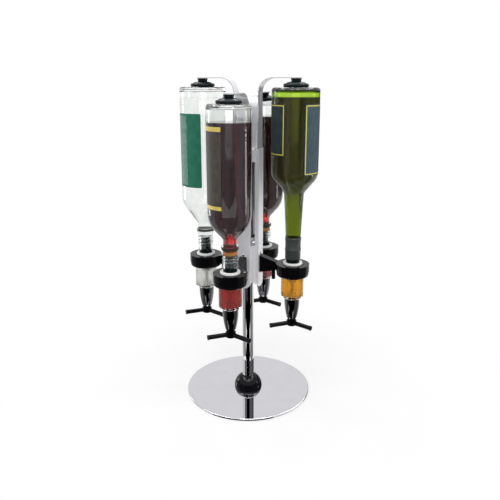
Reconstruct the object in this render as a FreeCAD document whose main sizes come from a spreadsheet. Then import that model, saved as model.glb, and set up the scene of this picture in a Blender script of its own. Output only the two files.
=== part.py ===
import FreeCAD
import Part
import Sketcher
import math
import os

# Rotating cocktail dispenser. Four upside-down bottles stand round a pole, each
# with a spirit measure below it and a sprung arm that presses it down from above.
# Millimetres, +Z up, origin at the middle of the base's underside.

SIZES = {
    # base
    "base_radius": 115.0,
    "base_thickness": 3.0,
    "base_edge": 1.0,
    "pad_radius": 105.0,
    "pad_thickness": 0.8,
    "dome_radius": 26.0,
    # pole and what is fixed in it
    "pole_radius": 11.0,
    "pole_wall": 1.5,
    "foot_plug_length": 20.0,
    "bolt_radius": 3.0,
    "bolt_head_radius": 6.0,
    "bolt_head_height": 2.6,
    "bolt_length": 18.0,
    "top_plug_length": 15.0,
    "top_plug_flange": 3.0,
    "washer_radius": 10.5,
    "washer_bore": 3.0,
    "washer_thickness": 1.5,
    # running and slip fits, and how long a construction line is drawn
    "fit": 0.05,
    "free_gap": 0.3,
    "axis_length": 100.0,
    # turning frame
    "rail_bottom": 209.0,
    "rail_length": 249.0,
    "rail_face": 24.0,
    "rail_half_width": 11.8,
    "rail_sheet": 1.2,
    "rail_lip": 4.2,
    "rail_corner": 9.0,
    "hub_rise": 9.0,
    "hub_height": 70.0,
    "hub_half": 17.0,
    "hub_corner": 2.0,
    "boss_radius": 14.5,
    "boss_height": 12.5,
    "bush_radius": 13.0,
    "bush_length": 12.0,
    "bush_flange_radius": 15.0,
    "bush_flange": 1.5,
    "top_bush_length": 3.5,
    "upper_bush_length": 10.0,
    "upper_hub_height": 22.0,
    "upper_hub_roof": 5.5,
    "upper_hub_chamfer": 1.0,
    # thumb screw that locks the frame to the pole
    "lock_rise": 4.5,
    "lock_angle": -45.0,
    "lock_shank_radius": 2.0,
    "lock_ball_radius": 3.5,
    "lock_ball_place": 21.5,
    "lock_neck_radius": 2.8,
    # clamp brackets and their gates
    "station_radius": 84.0,
    "ring_radius": 29.3,
    "ring_rise": 26.7,
    "ring_height": 13.6,
    "groove_depth": 2.5,
    "rib_height": 2.0,
    "rib_above_ring_bottom": 1.0,
    "seam_angle": 20.0,
    "seam_gap": 0.3,
    "gate_slack": 0.1,
    "knuckle_height": 5.2,
    "knuckle_clearance": 0.55,
    "pin_radius": 1.6,
    "pin_head_radius": 2.6,
    "pin_head_height": 0.7,
    "catch_radius": 1.5,
    "catch_length": 3.0,
    "catch_clearance": 0.15,
    "neck_half_width": 6.5,
    "neck_overlap": 1.2,
    "neck_foot_drop": 8.2,
    "neck_foot_rise": 9.7,
    "peg_inset": 6.5,
    "peg_radius": 2.5,
    "peg_length": 4.0,
    "screw_gap": 2.9,
    "screw_radius": 1.5,
    "screw_head_radius": 2.4,
    "screw_head_height": 1.2,
    "screw_depth": 8.0,
    "lug_place": 48.6,
    "lug_radius": 3.4,
    "lug_length": 19.2,
    # spirit measures
    "head_drop": 8.5,
    "head_edge": 4.0,
    "skirt_gap": 0.3,
    "skirt_step": 0.9,
    "head_neck_radius": 19.0,
    "port_radius": 5.0,
    "rim_seat_depth": 4.8,
    "collar_radius": 17.0,
    "collar_height": 3.0,
    "collar_edge": 0.8,
    "stopper_radius": 11.8,
    "stopper_flange": 9.7,
    "stopper_rib_height": 1.6,
    "stopper_groove_height": 1.0,
    "stopper_groove_depth": 1.2,
    "stopper_plug_length": 24.0,
    "stopper_core_radius": 8.3,
    "stopper_bore": 4.0,
    "fin_start": 1.6,
    "fin_pitch": 5.0,
    "fin_edge": 0.8,
    "fin_height": 2.4,
    "chamber_radius": 20.0,
    "chamber_wall": 2.0,
    "chamber_length": 47.0,
    "chamber_chamfer": 5.0,
    "chamber_floor": 2.5,
    "spout_length": 38.0,
    "spout_top_radius": 13.5,
    "spout_bend": 129.0,
    "spout_foot_radius": 9.6,
    "spout_groove_radius": 8.6,
    "spout_groove_height": 1.0,
    "spout_lip_radius": 9.2,
    "spout_lip_height": 2.0,
    "spout_tip_radius": 8.6,
    "spout_neck_radius": 8.9,
    "spout_neck_length": 5.0,
    "spout_bore": 7.3,
    "spout_web_drop": 12.0,
    "spout_web": 4.0,
    "web_bore": 3.4,
    # push bars, valves and springs
    "press_travel": 5.0,
    "travel_spare": 0.5,
    "bar_angle": -79.0,
    "bar_spread_angle": 121.0,
    "bar_reach": 41.5,
    "bar_radius": 4.0,
    "bar_end_radius": 4.4,
    "bar_end_length": 1.6,
    "bar_flare_length": 2.2,
    "bar_drop": 4.3,
    "button_radius": 9.0,
    "button_height": 9.0,
    "button_edge": 1.5,
    "sleeve_length": 16.0,
    "outlet_radius": 1.4,
    "outlet_place": 4.75,
    "stem_radius": 2.5,
    "stem_root": 1.0,
    "seal_radius": 6.8,
    "seal_height": 4.0,
    "seal_gap": 0.1,
    "spring_radius": 4.95,
    "spring_wire": 0.9,
    # arms and cups
    "arm_thickness": 1.6,
    "arm_half_width": 10.5,
    "arm_foot_gap": 17.5,
    "arm_bend": 25.0,
    "arm_end": 10.0,
    "arm_return": 25.0,
    "arm_slack": 0.1,
    "arm_heel": 1.4,
    "cup_radius": 21.0,
    "cup_lip": 3.6,
    "cup_hollow": 1.6,
    "cup_rim": 6.0,
    "cup_edge": 2.6,
    "cup_foot_edge": 2.0,
    "dome_foot_radius": 17.6,
    "dome_height": 2.9,
    "dome_bend": 14.0,
    "knob_foot_radius": 8.0,
    "knob_radius": 8.9,
    "knob_height": 5.5,
    "stud_radius": 3.0,
    # bottles, measured upwards from the mouth
    "mouth_bore": 9.6,
    "bottle_floor": 6.0,
    "bottle_heel": 5.0,
    "clear_length": 292.0,
    "clear_radius": 40.5,
    "clear_wall": 2.4,
    "clear_mouth_radius": 13.4,
    "clear_mouth_length": 33.0,
    "clear_bead_height": 7.0,
    "clear_bead_radius": 15.2,
    "clear_neck_radius": 13.5,
    "clear_neck_length": 50.0,
    "clear_shoulder_length": 39.0,
    "clear_neck_round": 14.0,
    "clear_shoulder_round": 34.0,
    "green_length": 292.0,
    "green_radius": 40.0,
    "green_wall": 2.4,
    "green_mouth_radius": 13.1,
    "green_mouth_length": 39.0,
    "green_neck_radius": 17.0,
    "green_neck_length": 117.0,
    "green_shoulder_length": 28.0,
    "green_neck_round": 10.0,
    "green_shoulder_round": 24.0,
    "dark_length": 267.5,
    "dark_radius": 36.3,
    "dark_wall": 2.4,
    "dark_mouth_radius": 13.2,
    "dark_mouth_length": 22.0,
    "dark_band_radius": 11.6,
    "dark_band_length": 9.0,
    "dark_bead_height": 6.0,
    "dark_bead_radius": 14.3,
    "dark_neck_radius": 11.3,
    "dark_neck_length": 49.0,
    "dark_shoulder_length": 28.0,
    "dark_neck_round": 10.0,
    "dark_shoulder_round": 42.0,
}

doc = FreeCAD.newDocument("cocktail_dispenser")
sheet = doc.addObject("Spreadsheet::Sheet", "Sizes")
for row, (alias, number) in enumerate(SIZES.items(), start=1):
    sheet.set(f"A{row}", alias)
    sheet.set(f"B{row}", str(number))
    sheet.setAlias(f"B{row}", alias)
doc.recompute()


class Length:
    """A size that carries its number and the sheet expression it comes from."""

    def __init__(self, number, text):
        self.number = number
        self.text = text

    def joined(self, other, sign, number):
        return Length(number, f"({self.text} {sign} {as_length(other).text})")

    def __add__(self, other):
        return self.joined(other, "+", self.number + as_length(other).number)

    def __sub__(self, other):
        return self.joined(other, "-", self.number - as_length(other).number)

    def __mul__(self, other):
        return self.joined(other, "*", self.number * as_length(other).number)

    def __truediv__(self, other):
        return self.joined(other, "/", self.number / as_length(other).number)

    def __neg__(self):
        return Length(-self.number, f"(0 - {self.text})")


def as_length(value):
    return value if isinstance(value, Length) else Length(float(value), str(value))


def size(alias):
    return Length(float(sheet.get(alias)), f"Sizes.{alias}")


def cosine(angle):
    return Length(math.cos(math.radians(angle.number)), f"cos({angle.text})")


def sine(angle):
    return Length(math.sin(math.radians(angle.number)), f"sin({angle.text})")


# Places that several pieces share.
ZERO = as_length(0)
FIT = size("fit")
FREE_GAP = size("free_gap")
AXIS_LENGTH = size("axis_length")
PLATE_TOP = size("pad_thickness") + size("base_thickness")
POLE_BORE = size("pole_radius") - size("pole_wall")
HUB_BOTTOM = size("rail_bottom") + size("hub_rise")
HUB_TOP = HUB_BOTTOM + size("hub_height")
BOSS_TOP = HUB_TOP + size("boss_height")
LOCK_HEIGHT = HUB_TOP + size("lock_rise")
RAIL_TOP = size("rail_bottom") + size("rail_length")
UPPER_HUB_BOTTOM = RAIL_TOP - size("upper_hub_height")
WASHER_TOP = RAIL_TOP - size("upper_hub_roof")
WASHER_BOTTOM = WASHER_TOP - size("washer_thickness")
POLE_TOP = WASHER_BOTTOM - size("top_plug_flange")
LIP_GAP = size("rail_half_width") - size("rail_lip")
LAND_FACE = size("rail_face") - size("rail_sheet")
STATION = size("station_radius")
RING_BOTTOM = HUB_BOTTOM + size("ring_rise")
RING_TOP = RING_BOTTOM + size("ring_height")
RING_BORE = size("head_neck_radius") + FREE_GAP
RING_MIDDLE = (size("ring_radius") + RING_BORE) / 2
RING_THROUGH = (RING_TOP + size("ring_height")) * 2
RIB_BOTTOM = RING_BOTTOM + size("rib_above_ring_bottom")
RIB_TOP = RIB_BOTTOM + size("rib_height")
HINGE_ANGLE = size("seam_angle") + 90
HINGE_X = STATION + RING_MIDDLE * cosine(HINGE_ANGLE)
HINGE_Y = RING_MIDDLE * sine(HINGE_ANGLE)
HINGE_RADIUS = (size("ring_radius") - RING_BORE) / 2
KNUCKLE_BOTTOM = RING_BOTTOM + (size("ring_height") - size("knuckle_height")) / 2
KNUCKLE_TOP = KNUCKLE_BOTTOM + size("knuckle_height")
FOOT_BOTTOM = RING_BOTTOM - size("neck_foot_drop")
FOOT_TOP = RING_TOP + size("neck_foot_rise")
PEG_HEIGHTS = (FOOT_BOTTOM + size("peg_inset"), FOOT_TOP - size("peg_inset"))
SCREW_HEIGHT = FOOT_TOP + size("screw_gap")
STOPPER_TOP = RING_TOP + size("stopper_flange")
HEAD_BOTTOM = RING_BOTTOM - size("head_drop")
CHAMBER_TOP = HEAD_BOTTOM + size("rim_seat_depth")
CHAMBER_BOTTOM = CHAMBER_TOP - size("chamber_length")
SPOUT_NECK_TOP = CHAMBER_BOTTOM + size("spout_neck_length")
SPOUT_BOTTOM = CHAMBER_BOTTOM - size("spout_length")
WEB_BOTTOM = CHAMBER_BOTTOM - size("spout_web_drop")
BUTTON_TOP = SPOUT_BOTTOM - size("press_travel") - size("travel_spare")
BUTTON_BOTTOM = BUTTON_TOP - size("button_height")
SLEEVE_TOP = BUTTON_TOP + size("sleeve_length")
CUP_HEIGHT = size("cup_rim") + size("dome_height") + size("knob_height")
ARM_RISE = CUP_HEIGHT + size("arm_thickness")
ARM_LENGTH = STOPPER_TOP + size("dark_length") + ARM_RISE - HUB_TOP - size("arm_foot_gap")

# holes in each push bar's button, and fins on each stopper's plug
OUTLETS = 3
FINS = 4
FULL_TURN = 360

# name, angle about the pole, kind of bottle
STATIONS = (
    ("front", 270, "dark"),
    ("right", 0, "green"),
    ("rear", 90, "dark"),
    ("left", 180, "clear"),
)


# Drawing helpers.

def new_body(label):
    body = doc.addObject("PartDesign::Body", label)
    body.Label = label
    body.AllowCompound = True
    return body


def origin_part(body, role):
    for feature in body.Origin.OriginFeatures:
        if feature.Role == role:
            return feature
    raise ValueError(role)


def bind(thing, prop, length):
    thing.setExpression(prop, as_length(length).text)


def new_sketch(body, name, role, offset=None):
    sketch = body.newObject("Sketcher::SketchObject", f"{body.Name}_{name}")
    sketch.AttachmentSupport = [(origin_part(body, role), "")]
    sketch.MapMode = "FlatFace"
    if offset is not None:
        bind(sketch, "AttachmentOffset.Base.z", offset)
    return sketch


def pin_point(sketch, geometry, position, x, y):
    """Fixes one point of the sketch at x, y from its origin."""
    for kind, length in (("DistanceX", x), ("DistanceY", y)):
        index = sketch.addConstraint(
            Sketcher.Constraint(kind, -1, 1, geometry, position, length.number))
        sketch.setExpression(f"Constraints[{index}]", length.text)


def bend_centre(start, end, radius, turn):
    """Centre of the short arc from start to end; turn is 1 when it runs anticlockwise."""
    chord = end - start
    half = chord.Length / 2
    rise = math.sqrt(max(radius * radius - half * half, 0.0))
    side = FreeCAD.Vector(-chord.y, chord.x, 0).normalize()
    return (start + end) * 0.5 + side * (rise * turn)


def outline(sketch, points):
    """Closed outline. A point is (x, y), or (x, y, radius, turn) when an arc leads to it."""
    points = [tuple(as_length(v) for v in p[:3]) + tuple(p[3:]) for p in points]
    corners = [FreeCAD.Vector(p[0].number, p[1].number, 0) for p in points]
    ends = []
    for index, point in enumerate(points):
        start = corners[index - 1]
        end = corners[index]
        if len(point) == 2:
            geometry = sketch.addGeometry(Part.LineSegment(start, end))
            ends.append((geometry, 1, 2))
            continue
        turn = point[3]
        centre = bend_centre(start, end, point[2].number, turn)
        first, last = (start, end) if turn > 0 else (end, start)
        angles = [math.atan2(v.y - centre.y, v.x - centre.x) for v in (first, last)]
        circle = Part.Circle(centre, FreeCAD.Vector(0, 0, 1), point[2].number)
        geometry = sketch.addGeometry(Part.ArcOfCircle(circle, angles[0], angles[1]))
        ends.append((geometry, 1, 2) if turn > 0 else (geometry, 2, 1))
        bend = sketch.addConstraint(Sketcher.Constraint("Radius", geometry, point[2].number))
        sketch.setExpression(f"Constraints[{bend}]", point[2].text)
    for index, point in enumerate(points):
        geometry, _, tail = ends[index]
        following, head, _ = ends[(index + 1) % len(points)]
        sketch.addConstraint(Sketcher.Constraint("Coincident", geometry, tail, following, head))
        pin_point(sketch, geometry, tail, point[0], point[1])


def circle_at(sketch, x, y, radius):
    x, y, radius = (as_length(v) for v in (x, y, radius))
    shape = Part.Circle(FreeCAD.Vector(x.number, y.number, 0), FreeCAD.Vector(0, 0, 1), radius.number)
    geometry = sketch.addGeometry(shape)
    pin_point(sketch, geometry, 3, x, y)
    index = sketch.addConstraint(Sketcher.Constraint("Radius", geometry, radius.number))
    sketch.setExpression(f"Constraints[{index}]", radius.text)


def drawn_axis(sketch, start, end):
    """Construction line that a profile turns about."""
    points = [FreeCAD.Vector(x.number, y.number, 0) for x, y in (start, end)]
    line = sketch.addGeometry(Part.LineSegment(*points), True)
    pin_point(sketch, line, 1, *start)
    pin_point(sketch, line, 2, *end)


def upright_axis(sketch, x):
    drawn_axis(sketch, (x, ZERO), (x, AXIS_LENGTH))


def level_axis(sketch, y):
    drawn_axis(sketch, (ZERO, y), (AXIS_LENGTH, y))


def pad(body, sketch, length, both_ways=False):
    feature = body.newObject("PartDesign::Pad", f"{body.Name}_pad")
    feature.Profile = sketch
    bind(feature, "Length", length)
    if both_ways:
        feature.SideType = "Symmetric"
    return feature


def pocket(body, sketch, length, both_ways=False, reverse=False):
    feature = body.newObject("PartDesign::Pocket", f"{body.Name}_pocket")
    feature.Profile = sketch
    bind(feature, "Length", length)
    if both_ways:
        feature.SideType = "Symmetric"
    feature.Reversed = reverse
    return feature


def turned(body, sketch, axis="V_Axis", cut=False):
    kind = "PartDesign::Groove" if cut else "PartDesign::Revolution"
    feature = body.newObject(kind, f"{body.Name}_turned")
    feature.Profile = sketch
    feature.ReferenceAxis = (sketch, [axis])
    feature.Angle = FULL_TURN
    return feature


def ring_pattern(body, features, count, angle=FULL_TURN):
    """Repeats features about the body's own Z axis and makes the result its tip."""
    feature = body.newObject("PartDesign::PolarPattern", f"{body.Name}_pattern")
    feature.Originals = features
    feature.Axis = (origin_part(body, "Z_Axis"), [""])
    bind(feature, "Angle", angle)
    feature.Occurrences = count
    body.Tip = feature
    return feature


def named_edges(feature, wanted):
    """Names of the feature's edges for which wanted(edge) is true."""
    doc.recompute()
    edges = feature.Shape.Edges
    found = [f"Edge{i}" for i, edge in enumerate(edges, start=1) if wanted(edge)]
    if not found:
        raise ValueError(f"no edge found on {feature.Name}")
    return found


def is_ring(edge, radius, height):
    """True for a full level circle of this radius at this height."""
    if not hasattr(edge.Curve, "Radius") or not edge.Closed:
        return False
    box = edge.BoundBox
    return abs(edge.Curve.Radius - radius.number) < 0.01 and abs(box.Center.z - height.number) < 0.01


def is_upright(edge, x, y):
    """True for an upright straight edge at plus or minus x, plus or minus y."""
    box = edge.BoundBox
    near = abs(abs(box.Center.x) - x.number) < 0.01 and abs(abs(box.Center.y) - y.number) < 0.01
    return near and box.XLength < 0.01 and box.YLength < 0.01


def is_level(edge, z):
    """True for an edge that lies wholly at this height."""
    box = edge.BoundBox
    return abs(box.ZMin - z.number) < 0.01 and box.ZLength < 0.01


def is_across(edge, x, z):
    """True for a straight edge along Y at this x and z."""
    box = edge.BoundBox
    near = abs(box.Center.x - x.number) < 0.01 and abs(box.Center.z - z.number) < 0.01
    return near and box.XLength < 0.01 and box.ZLength < 0.01


def rounded(body, feature, wanted, radius, kind="Fillet"):
    names = named_edges(feature, wanted)
    dress = body.newObject(f"PartDesign::{kind}", f"{body.Name}_{kind.lower()}")
    dress.Base = (feature, names)
    bind(dress, "Radius" if kind == "Fillet" else "Size", radius)
    return dress


def turn_about_pole(body, angle):
    body.Placement = FreeCAD.Placement(
        FreeCAD.Vector(0, 0, 0), FreeCAD.Rotation(FreeCAD.Vector(0, 0, 1), angle))


def stand_at_station(body, angle, facing=None):
    """Puts a body, drawn about its own axis, on the station at this angle."""
    turn_about_pole(body, angle if facing is None else facing.number)
    bind(body, "Placement.Base.x", STATION * cosine(as_length(angle)))
    bind(body, "Placement.Base.y", STATION * sine(as_length(angle)))
    if facing is not None:
        bind(body, "Placement.Rotation.Angle", facing)


# Stand.

def base_plate():
    """Polished disc with a countersunk hole for the pole's bolt."""
    body = new_body("base_plate")
    sketch = new_sketch(body, "section", "XZ_Plane")
    bottom = size("pad_thickness")
    hole = size("bolt_radius") + FIT
    sink = size("bolt_head_radius") + FIT
    outline(sketch, [
        (hole, PLATE_TOP),
        (hole, bottom + size("bolt_head_height")),
        (sink, bottom),
        (size("base_radius"), bottom),
        (size("base_radius"), PLATE_TOP),
    ])
    disc = turned(body, sketch)
    rounded(body, disc, lambda e: is_ring(e, size("base_radius"), PLATE_TOP), size("base_edge"))
    return body


def base_pad():
    """Thin rubber sheet that the plate stands on; it covers the bolt's head."""
    body = new_body("base_pad")
    sketch = new_sketch(body, "outline", "XY_Plane")
    circle_at(sketch, 0, 0, size("pad_radius"))
    pad(body, sketch, size("pad_thickness"))
    return body


def foot_dome():
    """Half ball round the foot of the pole."""
    ball = doc.addObject("Part::Sphere", "dome_ball")
    bind(ball, "Radius", size("dome_radius"))
    ball.Angle1 = 0
    bind(ball, "Placement.Base.z", PLATE_TOP)
    bore = doc.addObject("Part::Cylinder", "dome_bore")
    bind(bore, "Radius", size("pole_radius") + FIT)
    bind(bore, "Height", size("dome_radius") * 2)
    bind(bore, "Placement.Base.z", PLATE_TOP - size("dome_radius") / 2)
    dome = doc.addObject("Part::Cut", "foot_dome")
    dome.Base = ball
    dome.Tool = bore
    return dome


def pole():
    body = new_body("pole")
    sketch = new_sketch(body, "section", "XY_Plane", PLATE_TOP)
    circle_at(sketch, 0, 0, size("pole_radius"))
    circle_at(sketch, 0, 0, POLE_BORE)
    pad(body, sketch, POLE_TOP - PLATE_TOP)
    return body


def foot_plug():
    """Threaded plug in the pole's foot that the base bolt pulls down."""
    body = new_body("foot_plug")
    sketch = new_sketch(body, "section", "XY_Plane", PLATE_TOP)
    circle_at(sketch, 0, 0, POLE_BORE - FIT)
    circle_at(sketch, 0, 0, size("bolt_radius") + FIT)
    pad(body, sketch, size("foot_plug_length"))
    return body


def base_bolt():
    """Countersunk bolt from under the base into the foot plug."""
    body = new_body("base_bolt")
    sketch = new_sketch(body, "section", "XZ_Plane")
    bottom = size("pad_thickness")
    outline(sketch, [
        (0, bottom + size("bolt_length")),
        (0, bottom),
        (size("bolt_head_radius"), bottom),
        (size("bolt_radius"), bottom + size("bolt_head_height")),
        (size("bolt_radius"), bottom + size("bolt_length")),
    ])
    turned(body, sketch)
    return body


def top_plug():
    """Flanged plug in the pole's top; the turning frame hangs on it."""
    body = new_body("top_plug")
    sketch = new_sketch(body, "section", "XZ_Plane")
    spigot = POLE_BORE - FIT
    outline(sketch, [
        (0, WASHER_BOTTOM),
        (0, POLE_TOP - size("top_plug_length")),
        (spigot, POLE_TOP - size("top_plug_length")),
        (spigot, POLE_TOP),
        (size("pole_radius"), POLE_TOP),
        (size("pole_radius"), WASHER_BOTTOM),
    ])
    turned(body, sketch)
    return body


# Turning frame.

def rail(name, angle):
    """Channel that stands on edge and holds one station's bracket and arm."""
    body = new_body(f"rail_{name}")
    section = new_sketch(body, "section", "XY_Plane", size("rail_bottom"))
    face = size("rail_face")
    back = size("hub_half")
    sheet_gauge = size("rail_sheet")
    half = size("rail_half_width")
    inner = half - sheet_gauge
    outline(section, [
        (face, -half), (face, half), (back, half), (back, LIP_GAP),
        (back + sheet_gauge, LIP_GAP), (back + sheet_gauge, inner),
        (LAND_FACE, inner), (LAND_FACE, -inner),
        (back + sheet_gauge, -inner), (back + sheet_gauge, -LIP_GAP),
        (back, -LIP_GAP), (back, -half),
    ])
    pad(body, section, size("rail_length"))
    round_lower_corners(body, half)
    pocket(body, fixing_holes(body, back), face - back + sheet_gauge, reverse=True)
    turn_about_pole(body, angle)
    return body


def round_lower_corners(body, half):
    """Cuts away what lies outside the channel's rounded lower end."""
    trim = new_sketch(body, "trim", "YZ_Plane")
    bottom = size("rail_bottom")
    bend = size("rail_corner")
    for side in (1, -1):
        edge = half * side
        turn = -side
        outline(trim, [
            (edge * 2, bottom - bend),
            (edge * 2, bottom + bend),
            (edge, bottom + bend),
            ((half - bend) * side, bottom, bend, turn),
            ((half - bend) * side, bottom - bend),
        ])
    pocket(body, trim, STATION * 2, both_ways=True)


def fixing_holes(body, start):
    """Sketch of one screw hole and two peg holes, start away from the pole's axis."""
    holes = new_sketch(body, "holes", "YZ_Plane", start)
    circle_at(holes, 0, SCREW_HEIGHT, size("screw_radius") + FIT)
    for height in PEG_HEIGHTS:
        circle_at(holes, 0, height, size("peg_radius") + FIT)
    return holes


def lower_hub():
    """Square block with four lands for the channels and a boss for the thumb screw."""
    body = new_body("lower_hub")
    section = new_sketch(body, "section", "XY_Plane", HUB_BOTTOM)
    half = size("hub_half")
    land = LIP_GAP - FIT
    side = ((LAND_FACE, -land), (LAND_FACE, land), (half, land), (half, half), (land, half))
    outline(section, [quarter_turned(x, y, quarter) for quarter in range(4) for x, y in side])
    block = pad(body, section, size("hub_height"))
    rounded(body, block, lambda e: is_upright(e, half, half), size("hub_corner"))
    boss = new_sketch(body, "boss", "XY_Plane", HUB_TOP)
    circle_at(boss, 0, 0, size("boss_radius"))
    pad(body, boss, size("boss_height"))
    bore = new_sketch(body, "bore", "XZ_Plane")
    wide = size("bush_radius") + FIT
    narrow = size("pole_radius") + FREE_GAP
    outline(bore, [
        (0, HUB_BOTTOM),
        (wide, HUB_BOTTOM),
        (wide, HUB_BOTTOM + size("bush_length")),
        (narrow, HUB_BOTTOM + size("bush_length")),
        (narrow, BOSS_TOP - size("top_bush_length")),
        (wide, BOSS_TOP - size("top_bush_length")),
        (wide, BOSS_TOP),
        (0, BOSS_TOP),
    ])
    turned(body, bore, cut=True)
    drilled = pocket(body, fixing_holes(body, LAND_FACE), size("screw_depth"))
    ring_pattern(body, [drilled], len(STATIONS))
    lock_hole(body)
    return body


def quarter_turned(x, y, quarter):
    """The point x, y turned about the origin by a number of right angles."""
    return ((x, y), (-y, x), (-x, -y), (y, -x))[quarter]


def level_placement(angle):
    """Lays a cylinder that is drawn upright level, pointing at this angle about the pole."""
    turn = FreeCAD.Rotation(FreeCAD.Vector(0, 0, 1), angle)
    tip = FreeCAD.Rotation(FreeCAD.Vector(0, 1, 0), 90)
    return FreeCAD.Placement(FreeCAD.Vector(0, 0, 0), turn.multiply(tip))


def lock_hole(body):
    hole = body.newObject("PartDesign::SubtractiveCylinder", "lock_hole")
    bind(hole, "Radius", size("lock_shank_radius") + FIT)
    bind(hole, "Height", size("boss_radius") * 2)
    hole.Placement = level_placement(size("lock_angle").number)
    bind(hole, "Placement.Base.z", LOCK_HEIGHT)
    body.Tip = hole


def upper_hub():
    """Square cap between the channels' upper ends; it rests on the pole's top plug."""
    body = new_body("upper_hub")
    section = new_sketch(body, "section", "XY_Plane", UPPER_HUB_BOTTOM)
    half = size("hub_half")
    outline(section, [(half, -half), (half, half), (-half, half), (-half, -half)])
    block = pad(body, section, size("upper_hub_height"))
    smooth = rounded(body, block, lambda e: is_upright(e, half, half), size("hub_corner"))
    rounded(body, smooth, lambda e: is_level(e, RAIL_TOP), size("upper_hub_chamfer"), "Chamfer")
    bore = new_sketch(body, "bore", "XZ_Plane")
    wide = size("bush_radius") + FIT
    narrow = size("pole_radius") + FREE_GAP
    shoulder = UPPER_HUB_BOTTOM + size("upper_bush_length")
    outline(bore, [
        (0, UPPER_HUB_BOTTOM), (wide, UPPER_HUB_BOTTOM), (wide, shoulder),
        (narrow, shoulder), (narrow, WASHER_TOP), (0, WASHER_TOP),
    ])
    turned(body, bore, cut=True)
    return body


def hub_bushes():
    """Three flanged plastic bushes that run on the pole."""
    body = new_body("hub_bushes")
    sketch = new_sketch(body, "sections", "XZ_Plane")
    bore = size("pole_radius") + FIT
    flanged_bush(sketch, bore, HUB_BOTTOM, HUB_BOTTOM + size("bush_length"), -size("bush_flange"))
    flanged_bush(sketch, bore, BOSS_TOP, BOSS_TOP - size("top_bush_length"), size("bush_flange"))
    flanged_bush(sketch, bore, UPPER_HUB_BOTTOM,
                 UPPER_HUB_BOTTOM + size("upper_bush_length"), -size("bush_flange"))
    turned(body, sketch)
    return body


def flanged_bush(sketch, bore, face, inner_end, flange):
    """One bush's half section: a spigot from face to inner_end, a flange the other way."""
    outline(sketch, [
        (bore, inner_end),
        (bore, face + flange),
        (size("bush_flange_radius"), face + flange),
        (size("bush_flange_radius"), face),
        (size("bush_radius"), face),
        (size("bush_radius"), inner_end),
    ])


def thrust_washer():
    body = new_body("thrust_washer")
    sketch = new_sketch(body, "section", "XY_Plane", WASHER_BOTTOM)
    circle_at(sketch, 0, 0, size("washer_radius"))
    circle_at(sketch, 0, 0, size("washer_bore"))
    pad(body, sketch, size("washer_thickness"))
    return body


def lock_screw():
    """Thumb screw with a ball head, between the front and right channels."""
    shank = doc.addObject("Part::Cylinder", "lock_shank")
    bind(shank, "Radius", size("lock_shank_radius"))
    bind(shank, "Height", size("lock_ball_place") - size("pole_radius") - FIT)
    neck = doc.addObject("Part::Cylinder", "lock_neck")
    neck_start = size("boss_radius") + FREE_GAP
    bind(neck, "Radius", size("lock_neck_radius"))
    bind(neck, "Height", size("lock_ball_place") - neck_start)
    bind(neck, "Placement.Base.z", neck_start - size("pole_radius") - FIT)
    ball = doc.addObject("Part::Sphere", "lock_ball")
    bind(ball, "Radius", size("lock_ball_radius"))
    bind(ball, "Placement.Base.z", size("lock_ball_place") - size("pole_radius") - FIT)
    screw = doc.addObject("Part::MultiFuse", "lock_screw")
    screw.Shapes = [shank, neck, ball]
    angle = size("lock_angle")
    screw.Placement = level_placement(angle.number)
    start = size("pole_radius") + FIT
    bind(screw, "Placement.Base.x", start * cosine(angle))
    bind(screw, "Placement.Base.y", start * sine(angle))
    bind(screw, "Placement.Base.z", LOCK_HEIGHT)
    return screw


# Brackets and gates that clamp the spirit measures.

def half_plane(sketch, side, reach, start):
    """Rectangle that covers one side of the clamp's seam, beyond start from the seam line."""
    angle = size("seam_angle")
    across = HINGE_ANGLE
    corners = []
    for along_normal, along_seam in ((start, reach), (start, -reach), (reach, -reach), (reach, reach)):
        x = STATION + along_normal * side * cosine(angle) + along_seam * cosine(across)
        y = along_normal * side * sine(angle) + along_seam * sine(across)
        corners.append((x, y))
    outline(sketch, corners)


def clamp_ring(body):
    """Whole ring with the inner groove that holds the measure's rib."""
    section = new_sketch(body, "ring", "XY_Plane", RING_BOTTOM)
    circle_at(section, STATION, 0, size("ring_radius"))
    circle_at(section, STATION, 0, RING_BORE)
    pad(body, section, size("ring_height"))


def rib_groove(body, slack):
    groove = new_sketch(body, "rib_groove", "XY_Plane", RIB_BOTTOM - slack)
    circle_at(groove, STATION, 0, RING_BORE + size("groove_depth"))
    pocket(body, groove, size("rib_height") + slack * 2, reverse=True)


def cut_beyond(body, side, start):
    """Cuts the ring away on one side of the seam."""
    sketch = new_sketch(body, "beyond_seam", "XY_Plane")
    half_plane(sketch, side, size("ring_radius") * 2, start)
    pocket(body, sketch, RING_THROUGH, both_ways=True)


def hinge_block(sketch):
    """Square round the hinge pin that leaves the knuckle room to turn."""
    angle = size("seam_angle")
    across = HINGE_ANGLE
    width = size("ring_radius") - RING_BORE
    reach = HINGE_RADIUS + size("knuckle_clearance")
    corners = []
    for along, out in ((-reach, -width), (reach, -width), (reach, width), (-reach, width)):
        x = HINGE_X + along * cosine(angle) + out * cosine(across)
        y = HINGE_Y + along * sine(angle) + out * sine(across)
        corners.append((x, y))
    outline(sketch, corners)


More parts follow.
